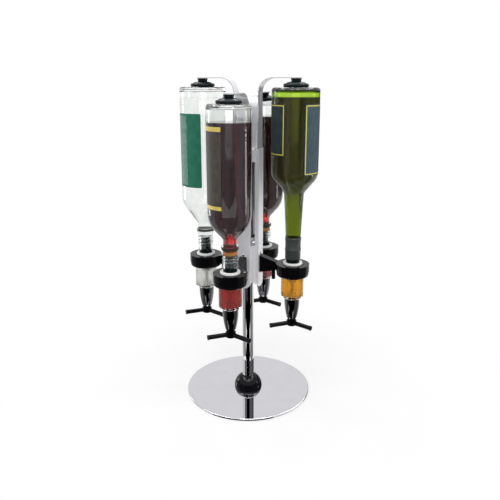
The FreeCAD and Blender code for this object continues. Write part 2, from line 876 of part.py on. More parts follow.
def bracket(name, angle):
    """Foot, neck and fixed half of the clamp ring, with the fork for the gate's knuckle."""
    body = new_body(f"bracket_{name}")
    clamp_ring(body)
    gusset = new_sketch(body, "gusset", "XZ_Plane")
    face = size("rail_face")
    ring_start = STATION - size("ring_radius") + size("neck_overlap")
    outline(gusset, [
        (face, FOOT_BOTTOM), (ring_start, RING_BOTTOM), (ring_start, RING_TOP), (face, FOOT_TOP),
    ])
    pad(body, gusset, size("neck_half_width") * 2, both_ways=True)
    lug = new_sketch(body, "lug", "XY_Plane", RING_BOTTOM - size("lug_length"))
    circle_at(lug, size("lug_place"), 0, size("lug_radius"))
    pad(body, lug, size("lug_length"))
    pegs = new_sketch(body, "pegs", "YZ_Plane", face - size("peg_length"))
    for height in PEG_HEIGHTS:
        circle_at(pegs, 0, height, size("peg_radius"))
    pad(body, pegs, size("peg_length"))
    cut_beyond(body, 1, ZERO)
    ears(body)
    rib_groove(body, ZERO)
    catch_hole(body)
    turn_about_pole(body, angle)
    return body


def ears(body):
    """Fork of the hinge: two ears round the pin, cut out between for the knuckle."""
    disc = new_sketch(body, "ear_disc", "XY_Plane", RING_BOTTOM)
    circle_at(disc, HINGE_X, HINGE_Y, HINGE_RADIUS)
    pad(body, disc, size("ring_height"))
    slot = new_sketch(body, "knuckle_slot", "XY_Plane", KNUCKLE_BOTTOM - FREE_GAP)
    hinge_block(slot)
    pocket(body, slot, size("knuckle_height") + FREE_GAP * 2, reverse=True)
    pin_hole(body)


def pin_hole(body):
    hole = new_sketch(body, "pin_hole", "XY_Plane")
    circle_at(hole, HINGE_X, HINGE_Y, size("pin_radius") + FIT)
    pocket(body, hole, RING_THROUGH, both_ways=True)


def catch_bar(body, kind):
    """Short level bar that crosses the seam; kind says whether it adds or subtracts."""
    stud = body.newObject(f"PartDesign::{kind}Cylinder", f"{body.Name}_catch")
    stud.Placement = level_placement(size("seam_angle").number + FULL_TURN / 2)
    return stud


def catch_hole(body):
    """Hole in the fixed half that the gate's catch snaps into."""
    hole = catch_bar(body, "Subtractive")
    bind(hole, "Radius", size("catch_radius") + size("catch_clearance"))
    bind(hole, "Height", size("catch_length") + FREE_GAP * 2)
    place_catch(hole, ZERO)


def place_catch(stud, back):
    """Puts a catch on the seam, opposite the hinge, back from it into the gate."""
    angle = size("seam_angle")
    bind(stud, "Placement.Base.x",
         STATION - RING_MIDDLE * cosine(HINGE_ANGLE) + back * cosine(angle))
    bind(stud, "Placement.Base.y", back * sine(angle) - RING_MIDDLE * sine(HINGE_ANGLE))
    bind(stud, "Placement.Base.z", RING_BOTTOM + size("ring_height") / 2)


def gate(name, angle):
    """Front half of the clamp ring; it swings out about the hinge pin."""
    body = new_body(f"gate_{name}")
    clamp_ring(body)
    cut_beyond(body, -1, -size("seam_gap"))
    clear_height = KNUCKLE_BOTTOM - RING_BOTTOM + FREE_GAP
    for label, bottom in (("lower_ear", RING_BOTTOM - FREE_GAP), ("upper_ear", KNUCKLE_TOP)):
        cut = new_sketch(body, label, "XY_Plane", bottom)
        hinge_block(cut)
        pocket(body, cut, clear_height, reverse=True)
    knuckle = new_sketch(body, "knuckle", "XY_Plane", KNUCKLE_BOTTOM)
    circle_at(knuckle, HINGE_X, HINGE_Y, HINGE_RADIUS)
    pad(body, knuckle, size("knuckle_height"))
    rib_groove(body, size("gate_slack"))
    pin_hole(body)
    stud = catch_bar(body, "Additive")
    bind(stud, "Radius", size("catch_radius"))
    bind(stud, "Height", size("catch_length") + size("catch_radius"))
    place_catch(stud, size("catch_radius"))
    turn_about_pole(body, angle)
    return body


def gate_pins():
    """Four hinge pins with low heads."""
    body = new_body("gate_pins")
    shank = new_sketch(body, "shank", "XY_Plane", RING_BOTTOM)
    circle_at(shank, HINGE_X, HINGE_Y, size("pin_radius"))
    shank_pad = pad(body, shank, size("ring_height"))
    head = new_sketch(body, "head", "XY_Plane", RING_TOP)
    circle_at(head, HINGE_X, HINGE_Y, size("pin_head_radius"))
    head_pad = pad(body, head, size("pin_head_height"))
    ring_pattern(body, [shank_pad, head_pad], len(STATIONS))
    return body


def bracket_screws():
    """Four screws with domed heads that hold the channels to the lower hub."""
    body = new_body("bracket_screws")
    sketch = new_sketch(body, "section", "XZ_Plane")
    axis = SCREW_HEIGHT
    seat = size("rail_face")
    tip = LAND_FACE - size("screw_depth") + FREE_GAP
    rise = size("screw_head_height")
    reach = size("screw_head_radius")
    outline(sketch, [
        (tip, axis),
        (seat + rise, axis),
        (seat, axis + reach, (rise * rise + reach * reach) / (rise * 2), 1),
        (seat, axis + size("screw_radius")),
        (tip, axis + size("screw_radius")),
    ])
    level_axis(sketch, axis)
    screw = turned(body, sketch, "Axis0")
    ring_pattern(body, [screw], len(STATIONS))
    return body


# Spirit measures.

def about_station(points):
    """Moves a profile's radii out to the station's own axis."""
    return [(STATION + p[0],) + tuple(p[1:]) for p in points]


def station_ring(label, points, round_edge=None):
    """Four equal turned pieces, one at each station."""
    body = new_body(label)
    sketch = new_sketch(body, "section", "XZ_Plane")
    outline(sketch, about_station(points))
    upright_axis(sketch, STATION)
    piece = turned(body, sketch, "Axis0")
    features = [piece]
    if round_edge is not None:
        radius, height, edge = round_edge
        piece = rounded(body, piece, lambda e: is_ring(e, radius, height), edge)
        features.append(piece)
    ring_pattern(body, features, len(STATIONS))
    return body


def measure_heads():
    """Round heads: a rib sits in the clamp ring, the skirt hides the chamber's rim."""
    skirt_top = RING_BOTTOM - size("skirt_gap")
    neck = size("head_neck_radius")
    rib = RING_BORE + size("groove_depth") - FREE_GAP
    outer = size("ring_radius") - size("skirt_step")
    seat_inside = size("chamber_radius") - size("chamber_wall") - FIT
    seat_outside = size("chamber_radius") + FIT
    return station_ring("measure_heads", [
        (size("port_radius"), RING_TOP),
        (size("port_radius"), HEAD_BOTTOM),
        (seat_inside, HEAD_BOTTOM),
        (seat_inside, CHAMBER_TOP),
        (seat_outside, CHAMBER_TOP),
        (seat_outside, HEAD_BOTTOM),
        (outer, HEAD_BOTTOM),
        (outer, skirt_top),
        (neck, skirt_top),
        (neck, RIB_BOTTOM),
        (rib, RIB_BOTTOM),
        (rib, RIB_TOP),
        (neck, RIB_TOP),
        (neck, RING_TOP),
    ], (outer, HEAD_BOTTOM, size("head_edge")))


def collar_rings():
    """White sealing rings on top of the measures."""
    bore = size("stopper_radius") + FIT
    outer = size("collar_radius")
    top = RING_TOP + size("collar_height")
    return station_ring("collar_rings", [
        (bore, top), (bore, RING_TOP), (outer, RING_TOP), (outer, top),
    ], (outer, top, size("collar_edge")))


def stoppers():
    """Rubber stoppers: a grooved flange under the bottle's mouth and a finned plug in its neck."""
    outer = size("stopper_radius")
    grooved = outer - size("stopper_groove_depth")
    points = [(size("stopper_bore"), RING_TOP), (outer, RING_TOP)]
    step = size("stopper_rib_height") + size("stopper_groove_height")
    for groove in (2, 1):
        groove_bottom = STOPPER_TOP - step * groove
        groove_top = groove_bottom + size("stopper_groove_height")
        points += [
            (outer, groove_bottom), (grooved, groove_bottom), (grooved, groove_top), (outer, groove_top)]
    core = size("stopper_core_radius")
    fin = size("mouth_bore") - FIT
    points += [(outer, STOPPER_TOP), (core, STOPPER_TOP)]
    for count in range(FINS):
        start = STOPPER_TOP + size("fin_start") + size("fin_pitch") * count
        points += [(core, start), (fin, start), (fin, start + size("fin_edge")),
                   (core, start + size("fin_height"))]
    plug_top = STOPPER_TOP + size("stopper_plug_length")
    return station_ring("stoppers", points + [(core, plug_top), (size("stopper_bore"), plug_top)])


def chamber(name, angle):
    """Clear measuring chamber, open at the top, with a hole for the spout's neck."""
    body = new_body(f"chamber_{name}")
    sketch = new_sketch(body, "section", "XZ_Plane")
    outer = size("chamber_radius")
    inner = outer - size("chamber_wall")
    bottom = CHAMBER_BOTTOM
    slope = size("chamber_chamfer")
    hole = size("spout_neck_radius") + FIT
    floor = bottom + size("chamber_floor")
    outline(sketch, [
        (hole, floor), (hole, bottom), (outer - slope, bottom), (outer, bottom + slope),
        (outer, CHAMBER_TOP), (inner, CHAMBER_TOP), (inner, bottom + slope + size("chamber_floor") / 2),
        (outer - slope, floor),
    ])
    turned(body, sketch)
    stand_at_station(body, angle)
    return body


def spouts():
    """Curved plated spouts; a web inside guides the valve stem and stops the spring."""
    lip_top = SPOUT_BOTTOM + size("spout_lip_height")
    curve_start = lip_top + size("spout_groove_height")
    web_top = WEB_BOTTOM + size("spout_web")
    return station_ring("spouts", [
        (size("port_radius"), SPOUT_NECK_TOP),
        (size("port_radius"), web_top),
        (size("web_bore"), web_top),
        (size("web_bore"), WEB_BOTTOM),
        (size("spout_bore"), WEB_BOTTOM),
        (size("spout_bore"), SPOUT_BOTTOM),
        (size("spout_tip_radius"), SPOUT_BOTTOM),
        (size("spout_lip_radius"), lip_top),
        (size("spout_groove_radius"), lip_top),
        (size("spout_groove_radius"), curve_start),
        (size("spout_foot_radius"), curve_start),
        (size("spout_top_radius"), CHAMBER_BOTTOM, size("spout_bend"), 1),
        (size("spout_neck_radius"), CHAMBER_BOTTOM),
        (size("spout_neck_radius"), SPOUT_NECK_TOP),
    ])


# Push bars, valves and springs.

def push_bar(name, angle):
    """Button with two bars that a glass lifts; its sleeve slides in the spout."""
    body = new_body(f"push_bar_{name}")
    sketch = new_sketch(body, "section", "XZ_Plane")
    sleeve = size("spout_bore") - FREE_GAP / 2
    stem_hole = size("stem_radius") + FIT
    stem_floor = BUTTON_BOTTOM + size("stem_root")
    outline(sketch, [
        (0, stem_floor), (0, BUTTON_BOTTOM), (size("button_radius"), BUTTON_BOTTOM),
        (size("button_radius"), BUTTON_TOP), (sleeve, BUTTON_TOP), (sleeve, SLEEVE_TOP),
        (stem_hole, SLEEVE_TOP), (stem_hole, stem_floor),
    ])
    button = turned(body, sketch)
    rounded(body, button, lambda e: is_ring(e, size("button_radius"), BUTTON_BOTTOM),
            size("button_edge"))
    bars = new_sketch(body, "bar", "XZ_Plane")
    height = BUTTON_TOP - size("bar_drop")
    reach = size("bar_reach")
    end = reach - size("bar_end_length")
    flare = end - size("bar_flare_length")
    root = size("spout_bore")
    outline(bars, [
        (root, height), (reach, height), (reach, height + size("bar_end_radius")),
        (end, height + size("bar_end_radius")), (flare, height + size("bar_radius")),
        (root, height + size("bar_radius")),
    ])
    level_axis(bars, height)
    bar = turned(body, bars, "Axis0")
    ring_pattern(body, [bar], 2, size("bar_spread_angle"))
    outlet = new_sketch(body, "outlet", "XY_Plane", BUTTON_BOTTOM)
    direction = size("bar_spread_angle") / 2
    for step in range(OUTLETS):
        turn = direction + FULL_TURN / OUTLETS * step
        circle_at(outlet, size("outlet_place") * cosine(turn), size("outlet_place") * sine(turn),
                  size("outlet_radius"))
    pocket(body, outlet, size("button_height") + size("sleeve_length"), reverse=True)
    stand_at_station(body, angle, size("bar_angle") - direction)
    return body


def valve(name, angle):
    """Stem with two seals: the lower shuts the spout, the upper shuts the bottle off."""
    body = new_body(f"valve_{name}")
    sketch = new_sketch(body, "section", "XZ_Plane")
    stem = size("stem_radius")
    seal = size("seal_radius")
    lower = SPOUT_NECK_TOP + size("seal_gap")
    upper = HEAD_BOTTOM - size("press_travel") - size("seal_gap")
    stem_foot = BUTTON_BOTTOM + size("stem_root")
    outline(sketch, [
        (0, upper), (0, stem_foot), (stem, stem_foot), (stem, lower), (seal, lower),
        (seal, lower + size("seal_height")), (stem, lower + size("seal_height")),
        (stem, upper - size("seal_height")), (seal, upper - size("seal_height")), (seal, upper),
    ])
    turned(body, sketch)
    stand_at_station(body, angle)
    return body


def spring(name, angle):
    """Return spring round the stem, drawn as the sleeve that its coils fill."""
    body = new_body(f"spring_{name}")
    sketch = new_sketch(body, "section", "XY_Plane", SLEEVE_TOP)
    circle_at(sketch, 0, 0, size("spring_radius"))
    circle_at(sketch, 0, 0, size("spring_radius") - size("spring_wire"))
    pad(body, sketch, WEB_BOTTOM - SLEEVE_TOP)
    stand_at_station(body, angle)
    return body


# Arms and cups.

def arm(name, angle, bottle):
    """Sprung strip: its folded foot grips the channel, its bent end carries the cup."""
    body = new_body(f"arm_{name}")
    sketch = new_sketch(body, "side", "XZ_Plane")
    gauge = size("arm_thickness")
    outer = LAND_FACE - size("arm_slack")
    inner = outer - gauge
    top = STOPPER_TOP + size(f"{bottle}_length") + ARM_RISE
    bottom = top - ARM_LENGTH
    bend = size("arm_bend")
    bend_x = inner + bend
    end = STATION + size("arm_end")
    fold = size("hub_half") + size("rail_sheet") + size("arm_slack")
    outline(sketch, [
        (outer, bottom),
        (outer, top - bend),
        (bend_x, top - gauge, bend - gauge, -1),
        (end, top - gauge),
        (end, top),
        (bend_x, top),
        (inner, top - bend, bend, 1),
        (inner, bottom + gauge),
        (fold + gauge, bottom + gauge),
        (fold + gauge, bottom + size("arm_return")),
        (fold, bottom + size("arm_return")),
        (fold, bottom),
    ])
    strip = pad(body, sketch, size("arm_half_width") * 2, both_ways=True)
    half = size("arm_half_width")
    round_end = rounded(body, strip, lambda e: is_upright(e, end, half), half - size("arm_slack"))
    rounded(body, round_end, lambda e: is_across(e, outer, bottom) or is_across(e, fold, bottom),
            size("arm_heel"))
    hole = new_sketch(body, "stud_hole", "XY_Plane", top - gauge)
    circle_at(hole, STATION, 0, size("stud_radius") + FIT)
    pocket(body, hole, gauge, reverse=True)
    turn_about_pole(body, angle)
    return body


def cup(name, angle, bottle):
    """Rubber cup whose rim presses on the bottle's base; its stud snaps into the arm."""
    body = new_body(f"cup_{name}")
    sketch = new_sketch(body, "section", "XZ_Plane")
    base = STOPPER_TOP + size(f"{bottle}_length")
    rim_top = base + size("cup_rim")
    dome_top = rim_top + size("dome_height")
    knob_top = dome_top + size("knob_height")
    inside = size("cup_radius") - size("cup_lip")
    outline(sketch, [
        (0, base + size("cup_hollow")), (inside, base + size("cup_hollow")), (inside, base),
        (size("cup_radius"), base), (size("cup_radius"), rim_top),
        (size("dome_foot_radius"), rim_top),
        (size("knob_foot_radius"), dome_top, size("dome_bend"), 1),
        (size("knob_radius"), knob_top), (size("stud_radius"), knob_top),
        (size("stud_radius"), knob_top + size("arm_thickness")),
        (0, knob_top + size("arm_thickness")),
    ])
    rubber = turned(body, sketch)
    rubber = rounded(body, rubber, lambda e: is_ring(e, size("cup_radius"), rim_top), size("cup_edge"))
    rounded(body, rubber, lambda e: is_ring(e, size("cup_radius"), base), size("cup_foot_edge"))
    stand_at_station(body, angle)
    return body


# Bottles, upside down: the mouth is at the bottom and the base on top.

def bottle(name, angle, kind):
    profile = BOTTLE_PROFILES[kind]()
    body = new_body(f"bottle_{name}")
    sketch = new_sketch(body, "outside", "XZ_Plane")
    outline(sketch, profile["outside"])
    turned(body, sketch)
    inside = new_sketch(body, "inside", "XZ_Plane")
    outline(inside, profile["inside"])
    glass = turned(body, inside, cut=True)
    for radius, height, edge in profile["rounds"]:
        glass = rounded(body, glass, lambda e: is_ring(e, radius, height), edge)
    stand_at_station(body, angle)
    return body


def neck_end(kind):
    """Height at which the neck ends and the shoulder starts."""
    return STOPPER_TOP + size(f"{kind}_neck_length")


def bottle_parts(kind, lower):
    """Profile from the mouth upwards: the lower points, then neck, shoulder, body and base."""
    wall = size(f"{kind}_wall")
    radius = size(f"{kind}_radius")
    base = STOPPER_TOP + size(f"{kind}_length")
    neck_radius = size(f"{kind}_neck_radius")
    neck_top = neck_end(kind)
    body_bottom = neck_top + size(f"{kind}_shoulder_length")
    neck_round = size(f"{kind}_neck_round")
    shoulder_round = size(f"{kind}_shoulder_round")
    inner_radius = radius - wall
    inner_bottom = body_bottom + wall / 2
    floor = base - size("bottle_floor")
    return {
        "outside": [(0, base), (0, STOPPER_TOP)] + lower + [
            (neck_radius, neck_top), (radius, body_bottom), (radius, base)],
        "inside": [
            (0, floor), (0, STOPPER_TOP), (size("mouth_bore"), STOPPER_TOP),
            (size("mouth_bore"), neck_top), (inner_radius, inner_bottom), (inner_radius, floor)],
        "rounds": [
            (size("mouth_bore"), neck_top, neck_round),
            (inner_radius, inner_bottom, shoulder_round - wall),
            (inner_radius, floor, size("bottle_heel") - wall),
            (neck_radius, neck_top, neck_round),
            (radius, body_bottom, shoulder_round),
            (radius, base, size("bottle_heel")),
        ],
    }


def bead_points(kind, start, below):
    """Bead ring round a neck: the outline comes from below it and goes on up the neck."""
    bead = size(f"{kind}_bead_radius")
    end = start + size(f"{kind}_bead_height")
    return [(below, start), (bead, start), (bead, end), (size(f"{kind}_neck_radius"), end)]


def clear_bottle():
    """Short neck with a bead ring; shoulder falls straight to the neck."""
    mouth = size("clear_mouth_radius")
    bead_start = STOPPER_TOP + size("clear_mouth_length")
    return bottle_parts("clear", [(mouth, STOPPER_TOP)] + bead_points("clear", bead_start, mouth))


def green_bottle():
    """Long neck that widens towards a short round shoulder."""
    mouth = size("green_mouth_radius")
    mouth_end = STOPPER_TOP + size("green_mouth_length")
    profile = bottle_parts("green", [(mouth, STOPPER_TOP), (mouth, mouth_end)])
    inner = size("green_neck_radius") - size("green_wall")
    neck_top = neck_end("green")
    profile["inside"][3] = (size("mouth_bore"), mouth_end)
    profile["inside"].insert(4, (inner, neck_top))
    profile["rounds"][0] = (inner, neck_top, size("green_neck_round"))
    return profile


def dark_bottle():
    """Threaded mouth, a narrow band, a bead ring and a slim neck."""
    thread = size("dark_mouth_radius")
    band = size("dark_band_radius")
    thread_end = STOPPER_TOP + size("dark_mouth_length")
    bead_start = thread_end + size("dark_band_length")
    return bottle_parts("dark", [
        (thread, STOPPER_TOP), (thread, thread_end), (band, thread_end),
    ] + bead_points("dark", bead_start, band))


BOTTLE_PROFILES = {"clear": clear_bottle, "green": green_bottle, "dark": dark_bottle}


def build():
    pieces = [
        base_plate(), base_pad(), foot_dome(), pole(), foot_plug(), base_bolt(), top_plug(),
        lower_hub(), upper_hub(), hub_bushes(), thrust_washer(), lock_screw(),
        gate_pins(), bracket_screws(), measure_heads(), collar_rings(), stoppers(), spouts(),
    ]
    for name, angle, kind in STATIONS:
        pieces += [
            rail(name, angle), bracket(name, angle), gate(name, angle), chamber(name, angle),
            push_bar(name, angle), valve(name, angle), spring(name, angle),
            arm(name, angle, kind), cup(name, angle, kind), bottle(name, angle, kind),
        ]
    return pieces


def check(pieces):
    """Stops before anything is written if a feature failed or a shape is not sound."""
    for thing in doc.Objects:
        if "Invalid" in thing.State or "Error" in thing.State:
            raise RuntimeError(f"{thing.Name} failed: {thing.State}")
    for piece in pieces:
        if piece.Shape.isNull() or not piece.Shape.isValid():
            raise RuntimeError(f"{piece.Label} has no sound shape")


def write(pieces):
    os.makedirs("parts", exist_ok=True)
    for piece in pieces:
        piece.Shape.exportStep(f"parts/{piece.Label}.step")
        print(piece.Label, len(piece.Shape.Solids), "solids", round(piece.Shape.Volume), "mm3")


all_pieces = build()
doc.recompute()
check(all_pieces)
write(all_pieces)
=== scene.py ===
import math

import bmesh
import bpy
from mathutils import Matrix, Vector


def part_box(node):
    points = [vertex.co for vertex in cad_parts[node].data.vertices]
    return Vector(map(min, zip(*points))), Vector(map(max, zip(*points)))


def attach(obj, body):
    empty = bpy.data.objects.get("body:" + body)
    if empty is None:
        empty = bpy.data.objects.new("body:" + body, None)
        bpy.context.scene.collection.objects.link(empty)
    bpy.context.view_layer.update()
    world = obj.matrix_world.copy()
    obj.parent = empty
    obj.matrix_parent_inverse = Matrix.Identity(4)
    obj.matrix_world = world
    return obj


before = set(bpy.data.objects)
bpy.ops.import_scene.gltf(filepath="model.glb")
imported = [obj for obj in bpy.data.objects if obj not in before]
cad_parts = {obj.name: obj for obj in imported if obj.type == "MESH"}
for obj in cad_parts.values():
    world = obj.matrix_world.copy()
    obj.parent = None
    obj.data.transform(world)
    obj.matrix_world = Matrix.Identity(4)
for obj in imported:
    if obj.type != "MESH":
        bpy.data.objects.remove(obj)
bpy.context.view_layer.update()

# Rotating cocktail dispenser. Metres, in the CAD frame: +Z up, front station towards -Y.

MM = 0.001
STATIONS = ("front", "right", "rear", "left")


def middle(node):
    """Centre of a CAD node's box, used as the upright axis of what stands round it."""
    low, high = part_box(node)
    return (low + high) / 2


def bottom_of(node):
    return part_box(node)[0].z


def top_of(node):
    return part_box(node)[1].z


# Camera, at the photograph's angle: 20.9 degrees to the right of the front station.

CAMERA_TURN = math.radians(20.92)
CAMERA_DISTANCE = 0.9644
CAMERA_HEIGHT = 0.571
CAMERA_DOWN = math.radians(14.06)
CAMERA_RIGHT = math.radians(0.205)
CAMERA_LENS = 40.16
CAMERA_SHIFT = -0.06


def add_camera():
    data = bpy.data.cameras.new("photo_camera")
    data.sensor_width = 36
    data.lens = CAMERA_LENS
    data.shift_y = CAMERA_SHIFT
    data.clip_start = 0.01
    camera = bpy.data.objects.new("photo_camera", data)
    camera.location = (
        CAMERA_DISTANCE * math.sin(CAMERA_TURN), -CAMERA_DISTANCE * math.cos(CAMERA_TURN), CAMERA_HEIGHT)
    camera.rotation_euler = (math.pi / 2 - CAMERA_DOWN, 0, CAMERA_TURN - CAMERA_RIGHT)
    bpy.context.scene.collection.objects.link(camera)
    bpy.context.scene.camera = camera


def seen(degrees):
    """World angle of what faces this far to the right of the camera's own direction."""
    return CAMERA_TURN - math.pi / 2 + math.radians(degrees)


# Node helpers for the materials.

NOISE_LOW = 0.3
NOISE_HIGH = 0.7
BLEND_START = 0.35
BLEND_END = 0.65
METAL_GRAIN_DEPTH = 0.05 * MM
PLASTIC_GRAIN_DEPTH = 0.04 * MM
PAPER_GRAIN_DEPTH = 0.03 * MM
WAVE_DEPTH = 1.0 * MM
MIX_FIRST_COLOUR = 6
MIX_SECOND_COLOUR = 7
MIX_COLOUR_RESULT = 2


def new_material(name):
    material = bpy.data.materials.new(name)
    material.use_nodes = True
    tree = material.node_tree
    tree.nodes.clear()
    output = tree.nodes.new("ShaderNodeOutputMaterial")
    shader = tree.nodes.new("ShaderNodeBsdfPrincipled")
    tree.links.new(shader.outputs["BSDF"], output.inputs["Surface"])
    return material, tree, shader, output


def noise(tree, scale, stretch=(1, 1, 1), detail=3.0):
    """Noise in the object's own space; stretch squeezes its grain along each axis."""
    place = tree.nodes.new("ShaderNodeTexCoord")
    mapping = tree.nodes.new("ShaderNodeMapping")
    mapping.inputs["Scale"].default_value = stretch
    texture = tree.nodes.new("ShaderNodeTexNoise")
    texture.inputs["Scale"].default_value = scale
    texture.inputs["Detail"].default_value = detail
    tree.links.new(place.outputs["Object"], mapping.inputs["Vector"])
    tree.links.new(mapping.outputs["Vector"], texture.inputs["Vector"])
    return texture.outputs["Fac"]


def between(tree, factor, low, high):
    """Spreads the usual range of a noise value over the range from low to high."""
    spread = tree.nodes.new("ShaderNodeMapRange")
    spread.inputs["From Min"].default_value = NOISE_LOW
    spread.inputs["From Max"].default_value = NOISE_HIGH
    spread.inputs["To Min"].default_value = low
    spread.inputs["To Max"].default_value = high
    tree.links.new(factor, spread.inputs["Value"])
    return spread.outputs["Result"]


def blend_colours(tree, factor, first, second):
    ramp = tree.nodes.new("ShaderNodeValToRGB")
    ramp.color_ramp.elements[0].position = BLEND_START
    ramp.color_ramp.elements[0].color = (*first, 1)
    ramp.color_ramp.elements[1].position = BLEND_END
    ramp.color_ramp.elements[1].color = (*second, 1)
    tree.links.new(factor, ramp.inputs["Fac"])
    return ramp.outputs["Color"]


def add_bump(tree, shader, factor, strength, depth):
    bump = tree.nodes.new("ShaderNodeBump")
    bump.inputs["Strength"].default_value = strength
    bump.inputs["Distance"].default_value = depth
    tree.links.new(factor, bump.inputs["Height"])
    tree.links.new(bump.outputs["Normal"], shader.inputs["Normal"])


def shade(colour, step):
    """A darker neighbour of a colour."""
    return tuple(channel * (1 - step) for channel in colour)


def metal(name, colour, roughness, grain=60, stretch=(1, 1, 1), step=0.05, bump=0.0, metallic=1.0):
    """Metal with a grain in its colour and gloss, raised where bump is given."""
    material, tree, shader, _ = new_material(name)
    shader.inputs["Metallic"].default_value = metallic
    grain_value = noise(tree, grain, stretch)
    tree.links.new(blend_colours(tree, grain_value, shade(colour, step), colour),
                   shader.inputs["Base Color"])
    tree.links.new(between(tree, grain_value, *roughness), shader.inputs["Roughness"])
    if bump:
        add_bump(tree, shader, grain_value, bump, METAL_GRAIN_DEPTH)
    return material


def plastic(name, colour, roughness, grain=900, step=0.25, bump=0.1, gloss=0.5):
    """Moulded plastic or rubber: fine grain, slow colour drift and uneven gloss."""
    material, tree, shader, _ = new_material(name)
    drift = noise(tree, scale=35)
    fine = noise(tree, grain)
    tree.links.new(blend_colours(tree, drift, shade(colour, step), colour), shader.inputs["Base Color"])
    tree.links.new(between(tree, drift, *roughness), shader.inputs["Roughness"])
    shader.inputs["Specular IOR Level"].default_value = gloss
    add_bump(tree, shader, fine, bump, PLASTIC_GRAIN_DEPTH)
    return material


def absorb(tree, output, per_metre):
    """Clear absorption: per_metre is how strongly each of red, green and blue fades."""
    strongest = max(per_metre)
    volume = tree.nodes.new("ShaderNodeVolumeAbsorption")
    volume.inputs["Color"].default_value = (*(1 - value / strongest for value in per_metre), 1)
    volume.inputs["Density"].default_value = strongest
    tree.links.new(volume.outputs["Volume"], output.inputs["Volume"])


def clear(name, tint, ior, roughness=(0.0, 0.01), waves=0.0, fade=None, transmission=1.0):
    """Glass, clear plastic or a drink.

    With waves its surface is slightly uneven, and with transmission under 1 it is cloudy.
    """
    material, tree, shader, output = new_material(name)
    slow = noise(tree, scale=28, stretch=(1, 1, 0.35))
    tree.links.new(blend_colours(tree, slow, shade(tint, step=0.02), tint), shader.inputs["Base Color"])
    tree.links.new(between(tree, slow, *roughness), shader.inputs["Roughness"])
    shader.inputs["Transmission Weight"].default_value = transmission
    shader.inputs["IOR"].default_value = ior
    if waves:
        add_bump(tree, shader, slow, waves, WAVE_DEPTH)
    if fade:
        absorb(tree, output, fade)
    return material


DRINK_IOR = 1.34


def veiled(name, clear_tint, veil, heights, weight, fade):
    """A drink that is clear in the neck and has a faint veil above, with vertical streaks of painted
    reflection.

    The veil grows between the two heights, which are above the ground in metres.
    """
    material, tree, shader, output = new_material(name)
    place = tree.nodes.new("ShaderNodeTexCoord")
    split = tree.nodes.new("ShaderNodeSeparateXYZ")
    tree.links.new(place.outputs["Object"], split.inputs[0])
    rise = tree.nodes.new("ShaderNodeMapRange")
    rise.interpolation_type = "SMOOTHSTEP"
    rise.inputs["From Min"].default_value = heights[0]
    rise.inputs["From Max"].default_value = heights[1]
    tree.links.new(split.outputs["Z"], rise.inputs["Value"])
    # Painted reflection: vertical streaks in the veil's colour stand in for reflections of strip lights.
    painted_reflection_streaks = noise(tree, scale=110, stretch=(1, 1, 0.03), detail=2)
    tinted = blend_colours(tree, painted_reflection_streaks, shade(veil, step=0.7), veil)
    colour = tree.nodes.new("ShaderNodeMix")
    colour.data_type = "RGBA"
    tree.links.new(rise.outputs["Result"], colour.inputs["Factor"])
    colour.inputs[MIX_FIRST_COLOUR].default_value = (*clear_tint, 1)
    tree.links.new(tinted, colour.inputs[MIX_SECOND_COLOUR])
    tree.links.new(colour.outputs[MIX_COLOUR_RESULT], shader.inputs["Base Color"])
    through = tree.nodes.new("ShaderNodeMapRange")
    through.inputs["To Min"].default_value = 1.0
    through.inputs["To Max"].default_value = 1.0 - weight
    tree.links.new(rise.outputs["Result"], through.inputs["Value"])
    tree.links.new(through.outputs["Result"], shader.inputs["Transmission Weight"])
    shader.inputs["Roughness"].default_value = 0.0
    shader.inputs["IOR"].default_value = DRINK_IOR
    absorb(tree, output, fade)
    return material


def paper(name, colour, second, grain=160, roughness=(0.45, 0.6)):
    """Printed paper with fibres and uneven ink."""
    material, tree, shader, _ = new_material(name)
    fibres = noise(tree, grain, stretch=(1, 1, 0.5), detail=6)
    tree.links.new(blend_colours(tree, fibres, colour, second), shader.inputs["Base Color"])
    tree.links.new(between(tree, fibres, *roughness), shader.inputs["Roughness"])
    shader.inputs["Specular IOR Level"].default_value = 0.2
    add_bump(tree, shader, fibres, strength=0.15, depth=PAPER_GRAIN_DEPTH)
    return material


MIRROR = metal("mirror_steel", (0.63, 0.62, 0.65), (0.012, 0.03), grain=40, step=0.03)
CHROME = metal("chrome", (0.86, 0.865, 0.88), (0.03, 0.06), grain=90, step=0.04)
DARK_CHROME = metal("dark_chrome", (0.2, 0.2, 0.21), (0.05, 0.09), grain=120, step=0.08)
SATIN = metal("satin_aluminium", (0.88, 0.88, 0.91), (0.3, 0.4),
              grain=500, stretch=(1, 1, 0.02), step=0.08, bump=0.08, metallic=0.35)
STRIP = metal("polished_strip", (0.78, 0.78, 0.81), (0.2, 0.3),
              grain=90, stretch=(1, 1, 0.05), step=0.04, metallic=0.6)
STEEL = metal("valve_steel", (0.55, 0.55, 0.56), (0.22, 0.3), grain=300, stretch=(1, 1, 0.1))
GLOSS_BLACK = plastic("gloss_black", (0.004, 0.004, 0.006), (0.06, 0.1), step=0.2, bump=0.02, gloss=0.16)
BLACK = plastic("black_plastic", (0.003, 0.003, 0.004), (0.1, 0.16), bump=0.08, gloss=0.15)
NYLON = plastic("black_nylon", (0.03, 0.03, 0.033), (0.35, 0.45), bump=0.25)
RUBBER = plastic("black_rubber", (0.005, 0.011, 0.012), (0.16, 0.24), grain=1400, bump=0.2, gloss=0.15)
PAD = plastic("pad_rubber", (0.03, 0.03, 0.03), (0.7, 0.8), grain=1200, bump=0.5)
WHITE = plastic("white_plastic", (0.9, 0.9, 0.89), (0.35, 0.45), step=0.05, bump=0.15)
CLEAR_GLASS = clear("clear_glass", (0.97, 0.985, 0.975), ior=1.5, waves=0.06)
GREEN_GLASS = clear("green_glass", (0.95, 0.97, 0.93), ior=1.5, waves=0.06, fade=(150, 80, 520))
CLEAR_PLASTIC = clear("clear_plastic", (0.96, 0.97, 0.965), ior=1.47, roughness=(0.01, 0.03), waves=0.03)

